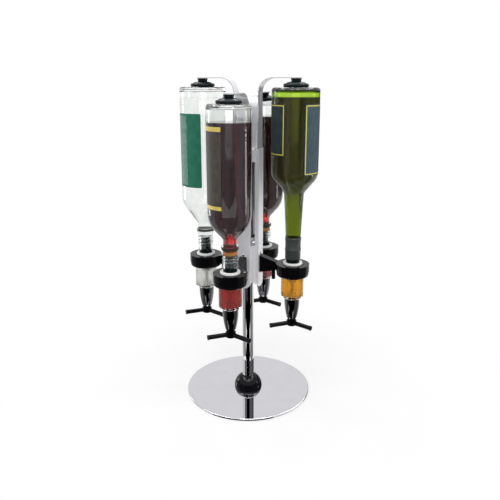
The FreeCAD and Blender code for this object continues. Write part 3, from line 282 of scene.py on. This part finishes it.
NODE_MATERIALS = {
    "base_plate": MIRROR, "base_pad": PAD, "foot_dome": GLOSS_BLACK, "pole": CHROME,
    "foot_plug": STEEL, "base_bolt": STEEL, "top_plug": NYLON,
    "lower_hub": SATIN, "upper_hub": SATIN, "hub_bushes": NYLON, "thrust_washer": NYLON,
    "lock_screw": CHROME, "gate_pins": CHROME, "bracket_screws": STEEL,
    "measure_heads": BLACK, "collar_rings": WHITE, "stoppers": RUBBER, "spouts": DARK_CHROME,
    "rail": SATIN, "bracket": BLACK, "gate": BLACK, "chamber": CLEAR_PLASTIC, "push_bar": BLACK,
    "valve": STEEL, "spring": STEEL, "arm": STRIP, "cup": RUBBER, "bottle": CLEAR_GLASS,
    "bottle_right": GREEN_GLASS,
}


def dress_nodes():
    """Gives each CAD node its material, by its own name or by its name without the station."""
    for name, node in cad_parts.items():
        family = name.rsplit("_", 1)[0]
        material = NODE_MATERIALS.get(name) or NODE_MATERIALS[family]
        if not node.data.materials:
            node.data.materials.append(material)
        for index in range(len(node.data.materials)):
            node.data.materials[index] = material


# Mesh helpers.

SHARP_ANGLE = math.radians(35)
ARC_STEPS = 8
ON_AXIS = 1e-7
TURN_STEPS = 72
SHEET_COLUMNS = 40


def piece(name, bm, material, body="carousel"):
    """Makes an object of the mesh that bm holds and lets it ride on a body."""
    bmesh.ops.recalc_face_normals(bm, faces=bm.faces)
    mesh = bpy.data.meshes.new(name)
    bm.to_mesh(mesh)
    bm.free()
    for face in mesh.polygons:
        face.use_smooth = True
    mesh.set_sharp_from_angle(angle=SHARP_ANGLE)
    mesh.materials.append(material)
    thing = bpy.data.objects.new(name, mesh)
    bpy.context.scene.collection.objects.link(thing)
    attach(thing, body)


def rounded(corners):
    """Turns corners (radius, height, fillet) into points, each fillet an arc between its sides."""
    points = []
    for index, (r, z, fillet) in enumerate(corners):
        if not fillet:
            points.append((r, z))
            continue
        here = Vector((r, z))
        before = (Vector(corners[index - 1][:2]) - here).normalized()
        after = (Vector(corners[(index + 1) % len(corners)][:2]) - here).normalized()
        half = math.acos(max(-1.0, min(1.0, before.dot(after)))) / 2
        reach = fillet / math.tan(half)
        centre = here + (before + after).normalized() * (fillet / math.sin(half))
        start = here + before * reach - centre
        sweep = start.angle_signed(here + after * reach - centre)
        for step in range(ARC_STEPS + 1):
            turn = -sweep * step / ARC_STEPS
            points.append((
                centre.x + start.x * math.cos(turn) - start.y * math.sin(turn),
                centre.y + start.x * math.sin(turn) + start.y * math.cos(turn)))
    return points


def turned(name, corners, axis, material, steps=TURN_STEPS):
    """Solid of revolution about an upright axis; corners run round the section, in metres."""
    bm = bmesh.new()
    rings = []
    for r, z in rounded(corners):
        if r < ON_AXIS:
            rings.append([bm.verts.new((axis.x, axis.y, z))])
            continue
        ring = []
        for step in range(steps):
            angle = 2 * math.pi * step / steps
            ring.append(bm.verts.new((axis.x + r * math.cos(angle), axis.y + r * math.sin(angle), z)))
        rings.append(ring)
    for index, upper in enumerate(rings):
        lower = rings[index - 1]
        if len(lower) == 1 and len(upper) == 1:
            continue
        for step in range(steps):
            after = (step + 1) % steps
            corners_round = [lower[step % len(lower)], lower[after % len(lower)],
                             upper[after % len(upper)], upper[step % len(upper)]]
            bm.faces.new(list(dict.fromkeys(corners_round)))
    piece(name, bm, material)


def curved_sheet(bm, axis, radius, start, end, bottom, top, thickness, corner=0.0,
                 columns=SHEET_COLUMNS):
    """Sheet bent round an upright axis from one angle to another, with rounded corners."""
    rows = [bottom, top]
    if corner:
        for step in range(1, ARC_STEPS + 1):
            rise = corner * (1 - math.cos(math.pi / 2 * step / ARC_STEPS))
            rows += [bottom + rise, top - rise]
    rows.sort()
    layers = []
    for layer_radius in (radius, radius + thickness):
        grid = []
        for z in rows:
            inside = max(0.0, corner - min(z - bottom, top - z))
            trim = (corner - math.sqrt(max(corner ** 2 - inside ** 2, 0.0))) / layer_radius
            row = []
            for column in range(columns + 1):
                angle = start + trim + (end - start - 2 * trim) * column / columns
                x = axis.x + layer_radius * math.cos(angle)
                y = axis.y + layer_radius * math.sin(angle)
                row.append(bm.verts.new((x, y, z)))
            grid.append(row)
        layers.append(grid)
    for grid in layers:
        for row in range(len(rows) - 1):
            for column in range(columns):
                bm.faces.new((grid[row][column], grid[row][column + 1],
                              grid[row + 1][column + 1], grid[row + 1][column]))
    inner, outer = layers
    last = len(rows) - 1
    for column in range(columns):
        for row in (0, last):
            bm.faces.new((inner[row][column], inner[row][column + 1],
                          outer[row][column + 1], outer[row][column]))
    for row in range(last):
        for column in (0, columns):
            bm.faces.new((inner[row][column], inner[row + 1][column],
                          outer[row + 1][column], outer[row][column]))


# Bottles, in millimetres. Heights are above the bottle's mouth and radii from its axis. A kind has
# its outer radius, its neck's inner radius, the heights of the neck's end, the body's start and the
# drink's level, and the rounding at the neck's end and at the shoulder. A neck that is wider than
# the bore starts to widen NARROW_BORE above the stopper's plug.

WALL = 2.4
BORE = 9.6
STOPPER_PLUG = 24.0
NARROW_BORE = 15.0
BOTTLES = {
    "dark": {"radius": 36.3, "neck": BORE, "neck_top": 49.0, "body": 77.0,
             "neck_round": 10.0, "shoulder_round": 39.6, "level": 240.0},
    "green": {"radius": 40.0, "neck": 14.6, "neck_top": 117.0, "body": 145.0,
              "neck_round": 10.0, "shoulder_round": 21.6, "level": 277.0},
    "clear": {"radius": 40.5, "neck": BORE, "neck_top": 50.0, "body": 89.0,
              "neck_round": 14.0, "shoulder_round": 31.6, "level": 274.0},
}
KIND = {"front": "dark", "right": "green", "rear": "dark", "left": "clear"}

# A drink reaches OVERLAP into the glass or the chamber's wall, so that no air shows between them.
# Its surface is rounded at the edge and a little lower in the middle.

OVERLAP = 0.1
SURFACE_ROUND = 0.6
SURFACE_DIP = 0.4


def drink(station, material):
    """What the bottle holds, from the stopper's plug up to the level."""
    node = f"bottle_{station}"
    shape = BOTTLES[KIND[station]]
    mouth = bottom_of(node)
    inner = shape["radius"] - WALL + OVERLAP
    corners = [
        (0, STOPPER_PLUG, 0),
        (BORE + OVERLAP, STOPPER_PLUG, 0),
        (shape["neck"] + OVERLAP, shape["neck_top"], shape["neck_round"]),
        (inner, shape["body"] + WALL / 2, shape["shoulder_round"]),
        (inner, shape["level"], SURFACE_ROUND),
        (0, shape["level"] - SURFACE_DIP, 0),
    ]
    if shape["neck"] > BORE:
        corners.insert(2, (BORE + OVERLAP, STOPPER_PLUG + NARROW_BORE, 0))
    metres = [(r * MM, mouth + z * MM, fillet * MM) for r, z, fillet in corners]
    turned(f"drink_{station}", metres, middle(node), material)


# The chamber's inside, and the valve and spout that the dose in it keeps clear of, in millimetres.

CHAMBER_RADIUS = 18.0
CHAMBER_FLOOR = 2.4
SLOPE_WIDTH = 4.6
SLOPE_TOP = 6.4
DOSE_BELOW_RIM = 5.2
DOSE_STEPS = 56
STEM_RADIUS = 2.5
SEAL_RADIUS = 6.8
SEAL_HEIGHT = 4.0
VALVE_TRAVEL = 5.0
VALVE_ROOM = 0.2
SPOUT_NECK_RADIUS = 9.1
SPOUT_NECK_RISE = 5.1


def dose(station, material):
    """The drink in the measuring chamber, round the valve and clear of its seals as they rise."""
    node = f"chamber_{station}"
    bottom = bottom_of(node)
    inner = (CHAMBER_RADIUS + OVERLAP) * MM
    slope = SLOPE_WIDTH * MM
    floor = bottom + CHAMBER_FLOOR * MM
    surface = top_of(node) - DOSE_BELOW_RIM * MM
    neck = SPOUT_NECK_RADIUS * MM
    bore = (SEAL_RADIUS + VALVE_ROOM) * MM
    stem = (STEM_RADIUS + VALVE_ROOM) * MM
    neck_top = bottom + (SPOUT_NECK_RISE + VALVE_ROOM) * MM
    lower_end = bottom + (SPOUT_NECK_RISE + SEAL_HEIGHT + VALVE_TRAVEL + VALVE_ROOM) * MM
    upper_end = top_of(f"valve_{station}") - (SEAL_HEIGHT + VALVE_ROOM) * MM
    corners = [
        (neck, floor, 0), (neck, neck_top, 0), (bore, neck_top, 0), (bore, lower_end, 0),
        (stem, lower_end, 0), (stem, upper_end, 0), (bore, upper_end, 0), (bore, surface, 0),
        (inner, surface, 0), (inner, bottom + SLOPE_TOP * MM, 0), (inner - slope, floor, 0),
    ]
    turned(f"dose_{station}", corners, middle(node), material, DOSE_STEPS)


RED_TINT = (0.99, 0.9, 0.88)
RED_VEIL_HEIGHTS = (0.322, 0.334)
RED_DRINK = veiled("red_drink", RED_TINT, veil=(0.17, 0.145, 0.2), heights=RED_VEIL_HEIGHTS,
                   weight=0.15, fade=(23, 200, 200))
REAR_DRINK = veiled("rear_drink", RED_TINT, veil=(0.16, 0.14, 0.19), heights=RED_VEIL_HEIGHTS,
                    weight=0.14, fade=(34, 200, 200))
OLIVE_DRINK = veiled("olive_drink", (0.7, 0.56, 0.66), veil=(0.5, 0.28, 0.9), heights=(0.36, 0.42),
                     weight=0.17, fade=(38, 36, 20))
CLEAR_DRINK = clear("clear_drink", (0.985, 0.99, 0.985), ior=1.33)
CLOUDY = 0.7
RED_DOSE = clear("red_dose", (0.6, 0.08, 0.06), DRINK_IOR, (0.1, 0.2),
                 fade=(14, 100, 110), transmission=CLOUDY)
AMBER_DOSE = clear("amber_dose", (1.0, 0.58, 0.05), DRINK_IOR, (0.1, 0.2),
                   fade=(0.5, 14, 110), transmission=CLOUDY)
PINK_DOSE = clear("pink_dose", (0.6, 0.2, 0.24), DRINK_IOR, fade=(20, 50, 45), transmission=CLOUDY)
MILKY_DOSE = clear("milky_dose", (0.98, 0.98, 0.93), DRINK_IOR, (0.25, 0.35), transmission=CLOUDY)
DRINKS = {"front": RED_DRINK, "right": OLIVE_DRINK, "rear": REAR_DRINK, "left": CLEAR_DRINK}
DOSES = {"front": RED_DOSE, "right": AMBER_DOSE, "rear": PINK_DOSE, "left": MILKY_DOSE}


# Labels and trim on the bottles. Angles are degrees to the right of the camera's direction.

LABEL_GAP = 0.02 * MM
LABEL_THICKNESS = 0.04 * MM
BAR_THICKNESS = 0.04 * MM
LINE_THICKNESS = 0.03 * MM
LINE_INSET = 1.6 * MM
LINE_WIDTH = 1.5 * MM
SIDE_LINE_COLUMNS = 2
GREEN_PAPER = paper("green_paper", (0.012, 0.12, 0.075), (0.02, 0.15, 0.095))
SLATE_PAPER = paper("slate_paper", (0.037, 0.062, 0.08), (0.052, 0.083, 0.1))
DARK_SLATE_PAPER = paper("dark_slate_paper", (0.014, 0.024, 0.028), (0.026, 0.042, 0.046))
# Painted highlight: a paler green standing in for a reflection on the left side of the green label.
PAINTED_HIGHLIGHT_GREEN = paper("painted_highlight_green", (0.06, 0.16, 0.12), (0.14, 0.24, 0.2), grain=220)
GREY_PAPER = paper("grey_paper", (0.048, 0.04, 0.036), (0.07, 0.058, 0.05))
GOLD_PRINT = paper("gold_print", (0.5, 0.38, 0.09), (0.62, 0.48, 0.13),
                   grain=300, roughness=(0.3, 0.4))
YELLOW_PRINT = paper("yellow_print", (0.55, 0.5, 0.06), (0.65, 0.58, 0.09),
                     grain=300, roughness=(0.3, 0.4))


def label_radius(station):
    """Radius of a label's back, just off the bottle's side."""
    return BOTTLES[KIND[station]]["radius"] * MM + LABEL_GAP


def label(name, station, angles, heights, material, corner=3.0):
    """Paper label on a bottle's side; heights are above the ground."""
    bm = bmesh.new()
    curved_sheet(bm, middle(f"bottle_{station}"), label_radius(station),
                 seen(angles[0]), seen(angles[1]), heights[0] * MM, heights[1] * MM,
                 LABEL_THICKNESS, corner * MM)
    piece(name, bm, material)


def label_frame(name, station, angles, heights, material):
    """Printed line a little inside a label's edge, all round."""
    radius = label_radius(station) + LABEL_THICKNESS
    start = seen(angles[0]) + LINE_INSET / radius
    end = seen(angles[1]) - LINE_INSET / radius
    low = heights[0] * MM + LINE_INSET
    high = heights[1] * MM - LINE_INSET
    turn = LINE_WIDTH / radius
    lines = (
        (start, end, low, low + LINE_WIDTH, SHEET_COLUMNS),
        (start, end, high - LINE_WIDTH, high, SHEET_COLUMNS),
        (start, start + turn, low + LINE_WIDTH, high - LINE_WIDTH, SIDE_LINE_COLUMNS),
        (end - turn, end, low + LINE_WIDTH, high - LINE_WIDTH, SIDE_LINE_COLUMNS),
    )
    bm = bmesh.new()
    for first, last, bottom, top, columns in lines:
        curved_sheet(bm, middle(f"bottle_{station}"), radius, first, last, bottom, top,
                     LINE_THICKNESS, columns=columns)
    piece(name, bm, material)


def bar(name, station, angles, heights, material):
    """Printed bar on a label, or a panel of painted highlight."""
    bm = bmesh.new()
    curved_sheet(bm, middle(f"bottle_{station}"), label_radius(station) + LABEL_THICKNESS,
                 seen(angles[0]), seen(angles[1]), heights[0] * MM, heights[1] * MM, BAR_THICKNESS)
    piece(name, bm, material)


def add_labels():
    label("label_left", "left", (-128, -2), (389, 516), GREEN_PAPER)
    # A painted highlight, not print: a paler panel over the left part of the green label.
    bar("label_left_painted_highlight", "left", (-122, -41), (393, 512), PAINTED_HIGHLIGHT_GREEN)
    label("label_right_back", "right", (-118, -30), (451, 534), DARK_SLATE_PAPER)
    label_frame("label_right_back_line", "right", (-118, -30), (451, 534), YELLOW_PRINT)
    label("label_right_front", "right", (18, 112), (420, 534), SLATE_PAPER)
    label_frame("label_right_front_line", "right", (18, 112), (420, 534), YELLOW_PRINT)
    label("label_front", "front", (-115, -19), (372, 502), GREY_PAPER, corner=1.0)
    bar("label_front_upper_bar", "front", (-115, -19), (495, 502), GOLD_PRINT)
    bar("label_front_lower_bar", "front", (-115, -19), (372, 378), GOLD_PRINT)


BAND = plastic("neck_band", (0.36, 0.15, 0.04), (0.3, 0.4), step=0.2)
RING = plastic("neck_ring", (0.04, 0.038, 0.028), (0.2, 0.3), step=0.3)
CAPSULE = plastic("capsule_foil", (0.035, 0.045, 0.04), (0.3, 0.45), grain=500, bump=0.3)
TRIM_ROUND = 0.2
TRIM_STEPS = 56

# The capsule's section: distance from its inner radius, height above its lower end and rounding.

CAPSULE_RADIUS = 13.1
CAPSULE_START = 0.1
CAPSULE_STEPS = 64
CAPSULE_SECTION = (
    (0.05, 0, 0), (0.3, 0, 0), (0.4, 6, 0.5), (0.4, 14, 0), (0.9, 15, 0.4), (0.9, 18, 0.4),
    (0.4, 19, 0), (0.4, 32, 0.3), (0.9, 33, 0.4), (0.9, 38, 0.4), (0.3, 38.8, 0.2), (0.05, 38.8, 0),
)


def hoop(name, station, radii, heights, material):
    """Ring round a bottle's neck, from one height above the ground to another."""
    inner, outer = radii
    low, high = heights
    section = ((inner, low, 0), (outer, low, TRIM_ROUND), (outer, high, TRIM_ROUND), (inner, high, 0))
    corners = [(r * MM, z * MM, fillet * MM) for r, z, fillet in section]
    turned(name, corners, middle(f"bottle_{station}"), material, TRIM_STEPS)


def capsule(station):
    """Foil sleeve on the green bottle's neck, with a ring partway up and one at its upper end."""
    start = bottom_of(f"bottle_{station}") + CAPSULE_START * MM
    corners = [(CAPSULE_RADIUS * MM + out * MM, start + rise * MM, fillet * MM)
               for out, rise, fillet in CAPSULE_SECTION]
    turned(f"capsule_{station}", corners, middle(f"bottle_{station}"), CAPSULE, CAPSULE_STEPS)


THREAD_STEPS = 40
THREAD_SINK = 0.15
THREAD_FADE = 12
THREAD_RIDGE = ((0.0, -1.1), (0.75, -0.35), (0.75, 0.35), (0.0, 1.1))


def thread(station, radius, heights, turns, material):
    """Raised screw thread on a bottle's mouth: a ridge that climbs round the neck.

    At each end it sinks into the glass, over one part in THREAD_FADE of its length.
    """
    axis = middle(f"bottle_{station}")
    bm = bmesh.new()
    low, high = heights
    steps = int(turns * THREAD_STEPS)
    sections = []
    for step in range(steps + 1):
        share = step / steps
        fade = min(1.0, share * THREAD_FADE, (1 - share) * THREAD_FADE)
        angle = 2 * math.pi * turns * share
        z = (low + (high - low) * share) * MM
        section = []
        for out, rise in THREAD_RIDGE:
            reach = (radius - THREAD_SINK + out * fade) * MM
            x = axis.x + reach * math.cos(angle)
            y = axis.y + reach * math.sin(angle)
            section.append(bm.verts.new((x, y, z + rise * MM)))
        sections.append(section)
    for first, second in zip(sections, sections[1:]):
        for corner in range(len(THREAD_RIDGE)):
            after = (corner + 1) % len(THREAD_RIDGE)
            bm.faces.new((first[corner], first[after], second[after], second[corner]))
    bm.faces.new(sections[0])
    bm.faces.new(sections[-1])
    piece(f"thread_{station}", bm, material)


def add_trim():
    """Bands, rings and threads on the necks. Radii and heights above the ground are in millimetres."""
    for station in ("front", "rear"):
        hoop(f"neck_band_{station}", station, (11.62, 12.3), (290.4, 296.8), BAND)
        hoop(f"neck_ring_{station}", station, (14.32, 14.7), (299.4, 304.6), RING)
        thread(station, 13.2, (275.0, 287.5), turns=2.4, material=CLEAR_GLASS)
    hoop("neck_ring_left", "left", (15.22, 15.6), (303.2, 307.8), RING)
    thread("left", 13.4, (275.5, 296.0), turns=3.2, material=CLEAR_GLASS)
    capsule("right")


# Stage: pale floor, soft light, and dark or glowing cards that only mirror reflections see.
# Distances and heights are in metres, angles in degrees to the right of the camera's direction.

FLOOR_REACH = 12.0
SHADOW_RADIUS = 0.13
WHITE_RADIUS = 0.45
SHADOW_SHARE = 0.55
WORLD_LIGHT = 0.64
LAMP_TARGET = (0, 0, 0.3)
ABOVE_FLOOR = 0.001
CARD_START = 0.14
CARD_MIDDLE = 0.34
CARD_DISTANCE = 2.0
CARD_HEIGHT = 0.58
CARD_TOP = 1.5
GLOW_DISTANCE = 1.0
GLOW_LOW = 0.1
GLOW_HIGH = 0.42
HIGH_STRIP_HALF_ANGLE = 32
HIGH_STRIP_OUTER = (1.3, 1.5)
HIGH_STRIP_INNER = (0.8, 1.6)
HIGH_STRIP_GLOW = 8.0
FIRST_REFLECTION = 1


def emission(tree, strength):
    """White light from a surface."""
    node = tree.nodes.new("ShaderNodeEmission")
    node.inputs["Color"].default_value = (1, 1, 1, 1)
    node.inputs["Strength"].default_value = strength
    return node.outputs[0]


def mix_shaders(tree, factor, first, second):
    node = tree.nodes.new("ShaderNodeMixShader")
    tree.links.new(factor, node.inputs[0])
    tree.links.new(first, node.inputs[1])
    tree.links.new(second, node.inputs[2])
    return node.outputs[0]


def ray_shows_background(tree):
    """1 for what the camera sees directly, through glass or mirrored in metal, else 0."""
    path = tree.nodes.new("ShaderNodeLightPath")
    kinds = ("Is Camera Ray", "Is Transmission Ray", "Is Glossy Ray")
    result = path.outputs[kinds[0]]
    for kind in kinds[1:]:
        either = tree.nodes.new("ShaderNodeMath")
        either.operation = "MAXIMUM"
        tree.links.new(result, either.inputs[0])
        tree.links.new(path.outputs[kind], either.inputs[1])
        result = either.outputs[0]
    return result


def flat(name, corners):
    """Four-cornered sheet of the stage."""
    mesh = bpy.data.meshes.new(name)
    mesh.from_pydata(corners, [], [(0, 1, 2, 3)])
    thing = bpy.data.objects.new(name, mesh)
    bpy.context.scene.collection.objects.link(thing)
    return thing


def add_floor():
    """Pale floor that keeps the soft shadow near the base and turns white further out."""
    signs = ((-1, -1), (1, -1), (1, 1), (-1, 1))
    floor = flat("floor", [(x * FLOOR_REACH, y * FLOOR_REACH, 0) for x, y in signs])
    material, tree, shader, output = new_material("floor")
    cloud = noise(tree, scale=6)
    tree.links.new(blend_colours(tree, cloud, (0.87, 0.87, 0.87), (0.9, 0.9, 0.9)),
                   shader.inputs["Base Color"])
    shader.inputs["Roughness"].default_value = 0.9
    shader.inputs["Specular IOR Level"].default_value = 0.1
    place = tree.nodes.new("ShaderNodeTexCoord")
    length = tree.nodes.new("ShaderNodeVectorMath")
    length.operation = "LENGTH"
    tree.links.new(place.outputs["Object"], length.inputs[0])
    spread = tree.nodes.new("ShaderNodeMapRange")
    spread.interpolation_type = "SMOOTHSTEP"
    spread.inputs["From Min"].default_value = SHADOW_RADIUS
    spread.inputs["From Max"].default_value = WHITE_RADIUS
    spread.inputs["To Min"].default_value = SHADOW_SHARE
    spread.inputs["To Max"].default_value = 1.0
    tree.links.new(length.outputs["Value"], spread.inputs["Value"])
    factor = tree.nodes.new("ShaderNodeMath")
    factor.operation = "MULTIPLY"
    tree.links.new(ray_shows_background(tree), factor.inputs[0])
    tree.links.new(spread.outputs["Result"], factor.inputs[1])
    surface = mix_shaders(tree, factor.outputs[0], shader.outputs[0], emission(tree, 1.0))
    tree.links.new(surface, output.inputs["Surface"])
    floor.data.materials.append(material)


def add_world():
    """Soft even light on the object; the camera, the glass and the metal see plain white."""
    world = bpy.data.worlds.new("studio")
    bpy.context.scene.world = world
    world.use_nodes = True
    tree = world.node_tree
    tree.nodes.clear()
    output = tree.nodes.new("ShaderNodeOutputWorld")
    light = tree.nodes.new("ShaderNodeBackground")
    light.inputs["Color"].default_value = (1, 1, 1, 1)
    light.inputs["Strength"].default_value = WORLD_LIGHT
    white = tree.nodes.new("ShaderNodeBackground")
    white.inputs["Color"].default_value = (1, 1, 1, 1)
    white.inputs["Strength"].default_value = 1.0
    tree.links.new(mix_shaders(tree, ray_shows_background(tree), light.outputs[0], white.outputs[0]),
                   output.inputs["Surface"])


def lamp(name, place, size, power, mirrored=False):
    """Soft rectangular lamp that faces the object; only a mirrored one shows in reflections."""
    data = bpy.data.lights.new(name, "AREA")
    data.shape = "RECTANGLE"
    data.size, data.size_y = size
    data.energy = power
    thing = bpy.data.objects.new(name, data)
    thing.visible_glossy = mirrored
    thing.location = place
    thing.rotation_euler = (Vector(LAMP_TARGET) - Vector(place)).to_track_quat("-Z", "Y").to_euler()
    bpy.context.scene.collection.objects.link(thing)


def card(name, corners, glow, only_second=False):
    """Dark or glowing card that only mirror reflections see.

    A corner is (degrees, distance, height). With only_second the card shows in a reflection of a
    reflection alone, such as the pole's mirror image in the base.
    """
    places = []
    for degrees, distance, height in corners:
        angle = seen(degrees)
        places.append((math.cos(angle) * distance, math.sin(angle) * distance, height))
    thing = flat(name, places)
    material, tree, _, output = new_material(name)
    surface = emission(tree, glow)
    if only_second:
        path = tree.nodes.new("ShaderNodeLightPath")
        later = tree.nodes.new("ShaderNodeMath")
        later.operation = "GREATER_THAN"
        later.inputs[1].default_value = FIRST_REFLECTION + 0.5
        tree.links.new(path.outputs["Ray Depth"], later.inputs[0])
        gap = tree.nodes.new("ShaderNodeBsdfTransparent")
        surface = mix_shaders(tree, later.outputs[0], gap.outputs[0], surface)
    tree.links.new(surface, output.inputs["Surface"])
    thing.data.materials.append(material)
    thing.visible_camera = False
    thing.visible_diffuse = False
    thing.visible_shadow = False
    thing.visible_transmission = False


def upright_card(name, angles, distance, heights, glow, only_second=False):
    """Card that stands upright between two angles and two heights."""
    start, end = angles
    low, high = heights
    card(name, [(start, distance, low), (end, distance, low), (end, distance, high),
                (start, distance, high)], glow, only_second)


def floor_card(name, near, far, distances, glow):
    """Card just above the floor; near and far are its angles at its two distances."""
    inner, outer = distances
    card(name, [(near[0], inner, ABOVE_FLOOR), (near[1], inner, ABOVE_FLOOR),
                (far[1], outer, ABOVE_FLOOR), (far[0], outer, ABOVE_FLOOR)], glow)


def add_lamps():
    lamp("left_strip", (-1.0, 0.1, 0.6), size=(0.26, 0.95), power=4)
    lamp("right_strip", (0.95, 0.35, 0.6), size=(0.1, 1.0), power=2)
    lamp("top_softbox", (0.2, -0.5, 1.7), size=(2.2, 0.5), power=9, mirrored=True)
    lamp("front_fill", (0.55, -1.6, 0.9), size=(1.2, 1.2), power=9)


def add_cards():
    """Cards round the stage. Those above CARD_HEIGHT don't show in the base directly."""
    glow_heights = (GLOW_LOW, GLOW_HIGH)
    upright_card("left_glow", (-124, -109), GLOW_DISTANCE, glow_heights, glow=5.2)
    upright_card("right_glow", (86.5, 92), GLOW_DISTANCE, glow_heights, glow=6.4)
    for name, angles, glow in (("left_card", (-125, -72), 0.45), ("front_left_card", (-72, -30), 0.2),
                               ("front_card", (-30, 28), 0.0), ("front_right_card", (28, 95), 0.14),
                               ("right_card", (95, 150), 0.08)):
        upright_card(name, angles, CARD_DISTANCE, (ABOVE_FLOOR, CARD_HEIGHT), glow)
        if name != "left_card":
            upright_card(f"{name}_upper", angles, CARD_DISTANCE, (CARD_HEIGHT, CARD_TOP), glow,
                         only_second=True)
    for turn in (0, 90, 180, 270):
        start = turn - HIGH_STRIP_HALF_ANGLE
        end = turn + HIGH_STRIP_HALF_ANGLE
        card(f"high_strip_{turn}", [(start, *HIGH_STRIP_OUTER), (end, *HIGH_STRIP_OUTER),
                                    (end, *HIGH_STRIP_INNER), (start, *HIGH_STRIP_INNER)],
             HIGH_STRIP_GLOW)
    inner = (CARD_START, CARD_MIDDLE)
    whole = (CARD_START, CARD_DISTANCE)
    outer = (CARD_MIDDLE, CARD_DISTANCE)
    floor_card("near_floor_card", (-48, 38), (-24, 26), inner, glow=0.0)
    floor_card("left_floor_card", (-75, -48), (-75, -48), whole, glow=0.1)
    floor_card("far_left_floor_card", (-125, -75), (-125, -75), whole, glow=0.45)
    floor_card("side_floor_card", (38, 110), (46, 95), whole, glow=0.2)
    floor_card("far_floor_card", (-48, 46), (-48, 46), outer, glow=0.0)


add_camera()
dress_nodes()
for station in STATIONS:
    drink(station, DRINKS[station])
    dose(station, DOSES[station])
add_labels()
add_trim()
add_floor()
add_world()
add_lamps()
add_cards()
bpy.context.scene.view_settings.view_transform = "Standard"
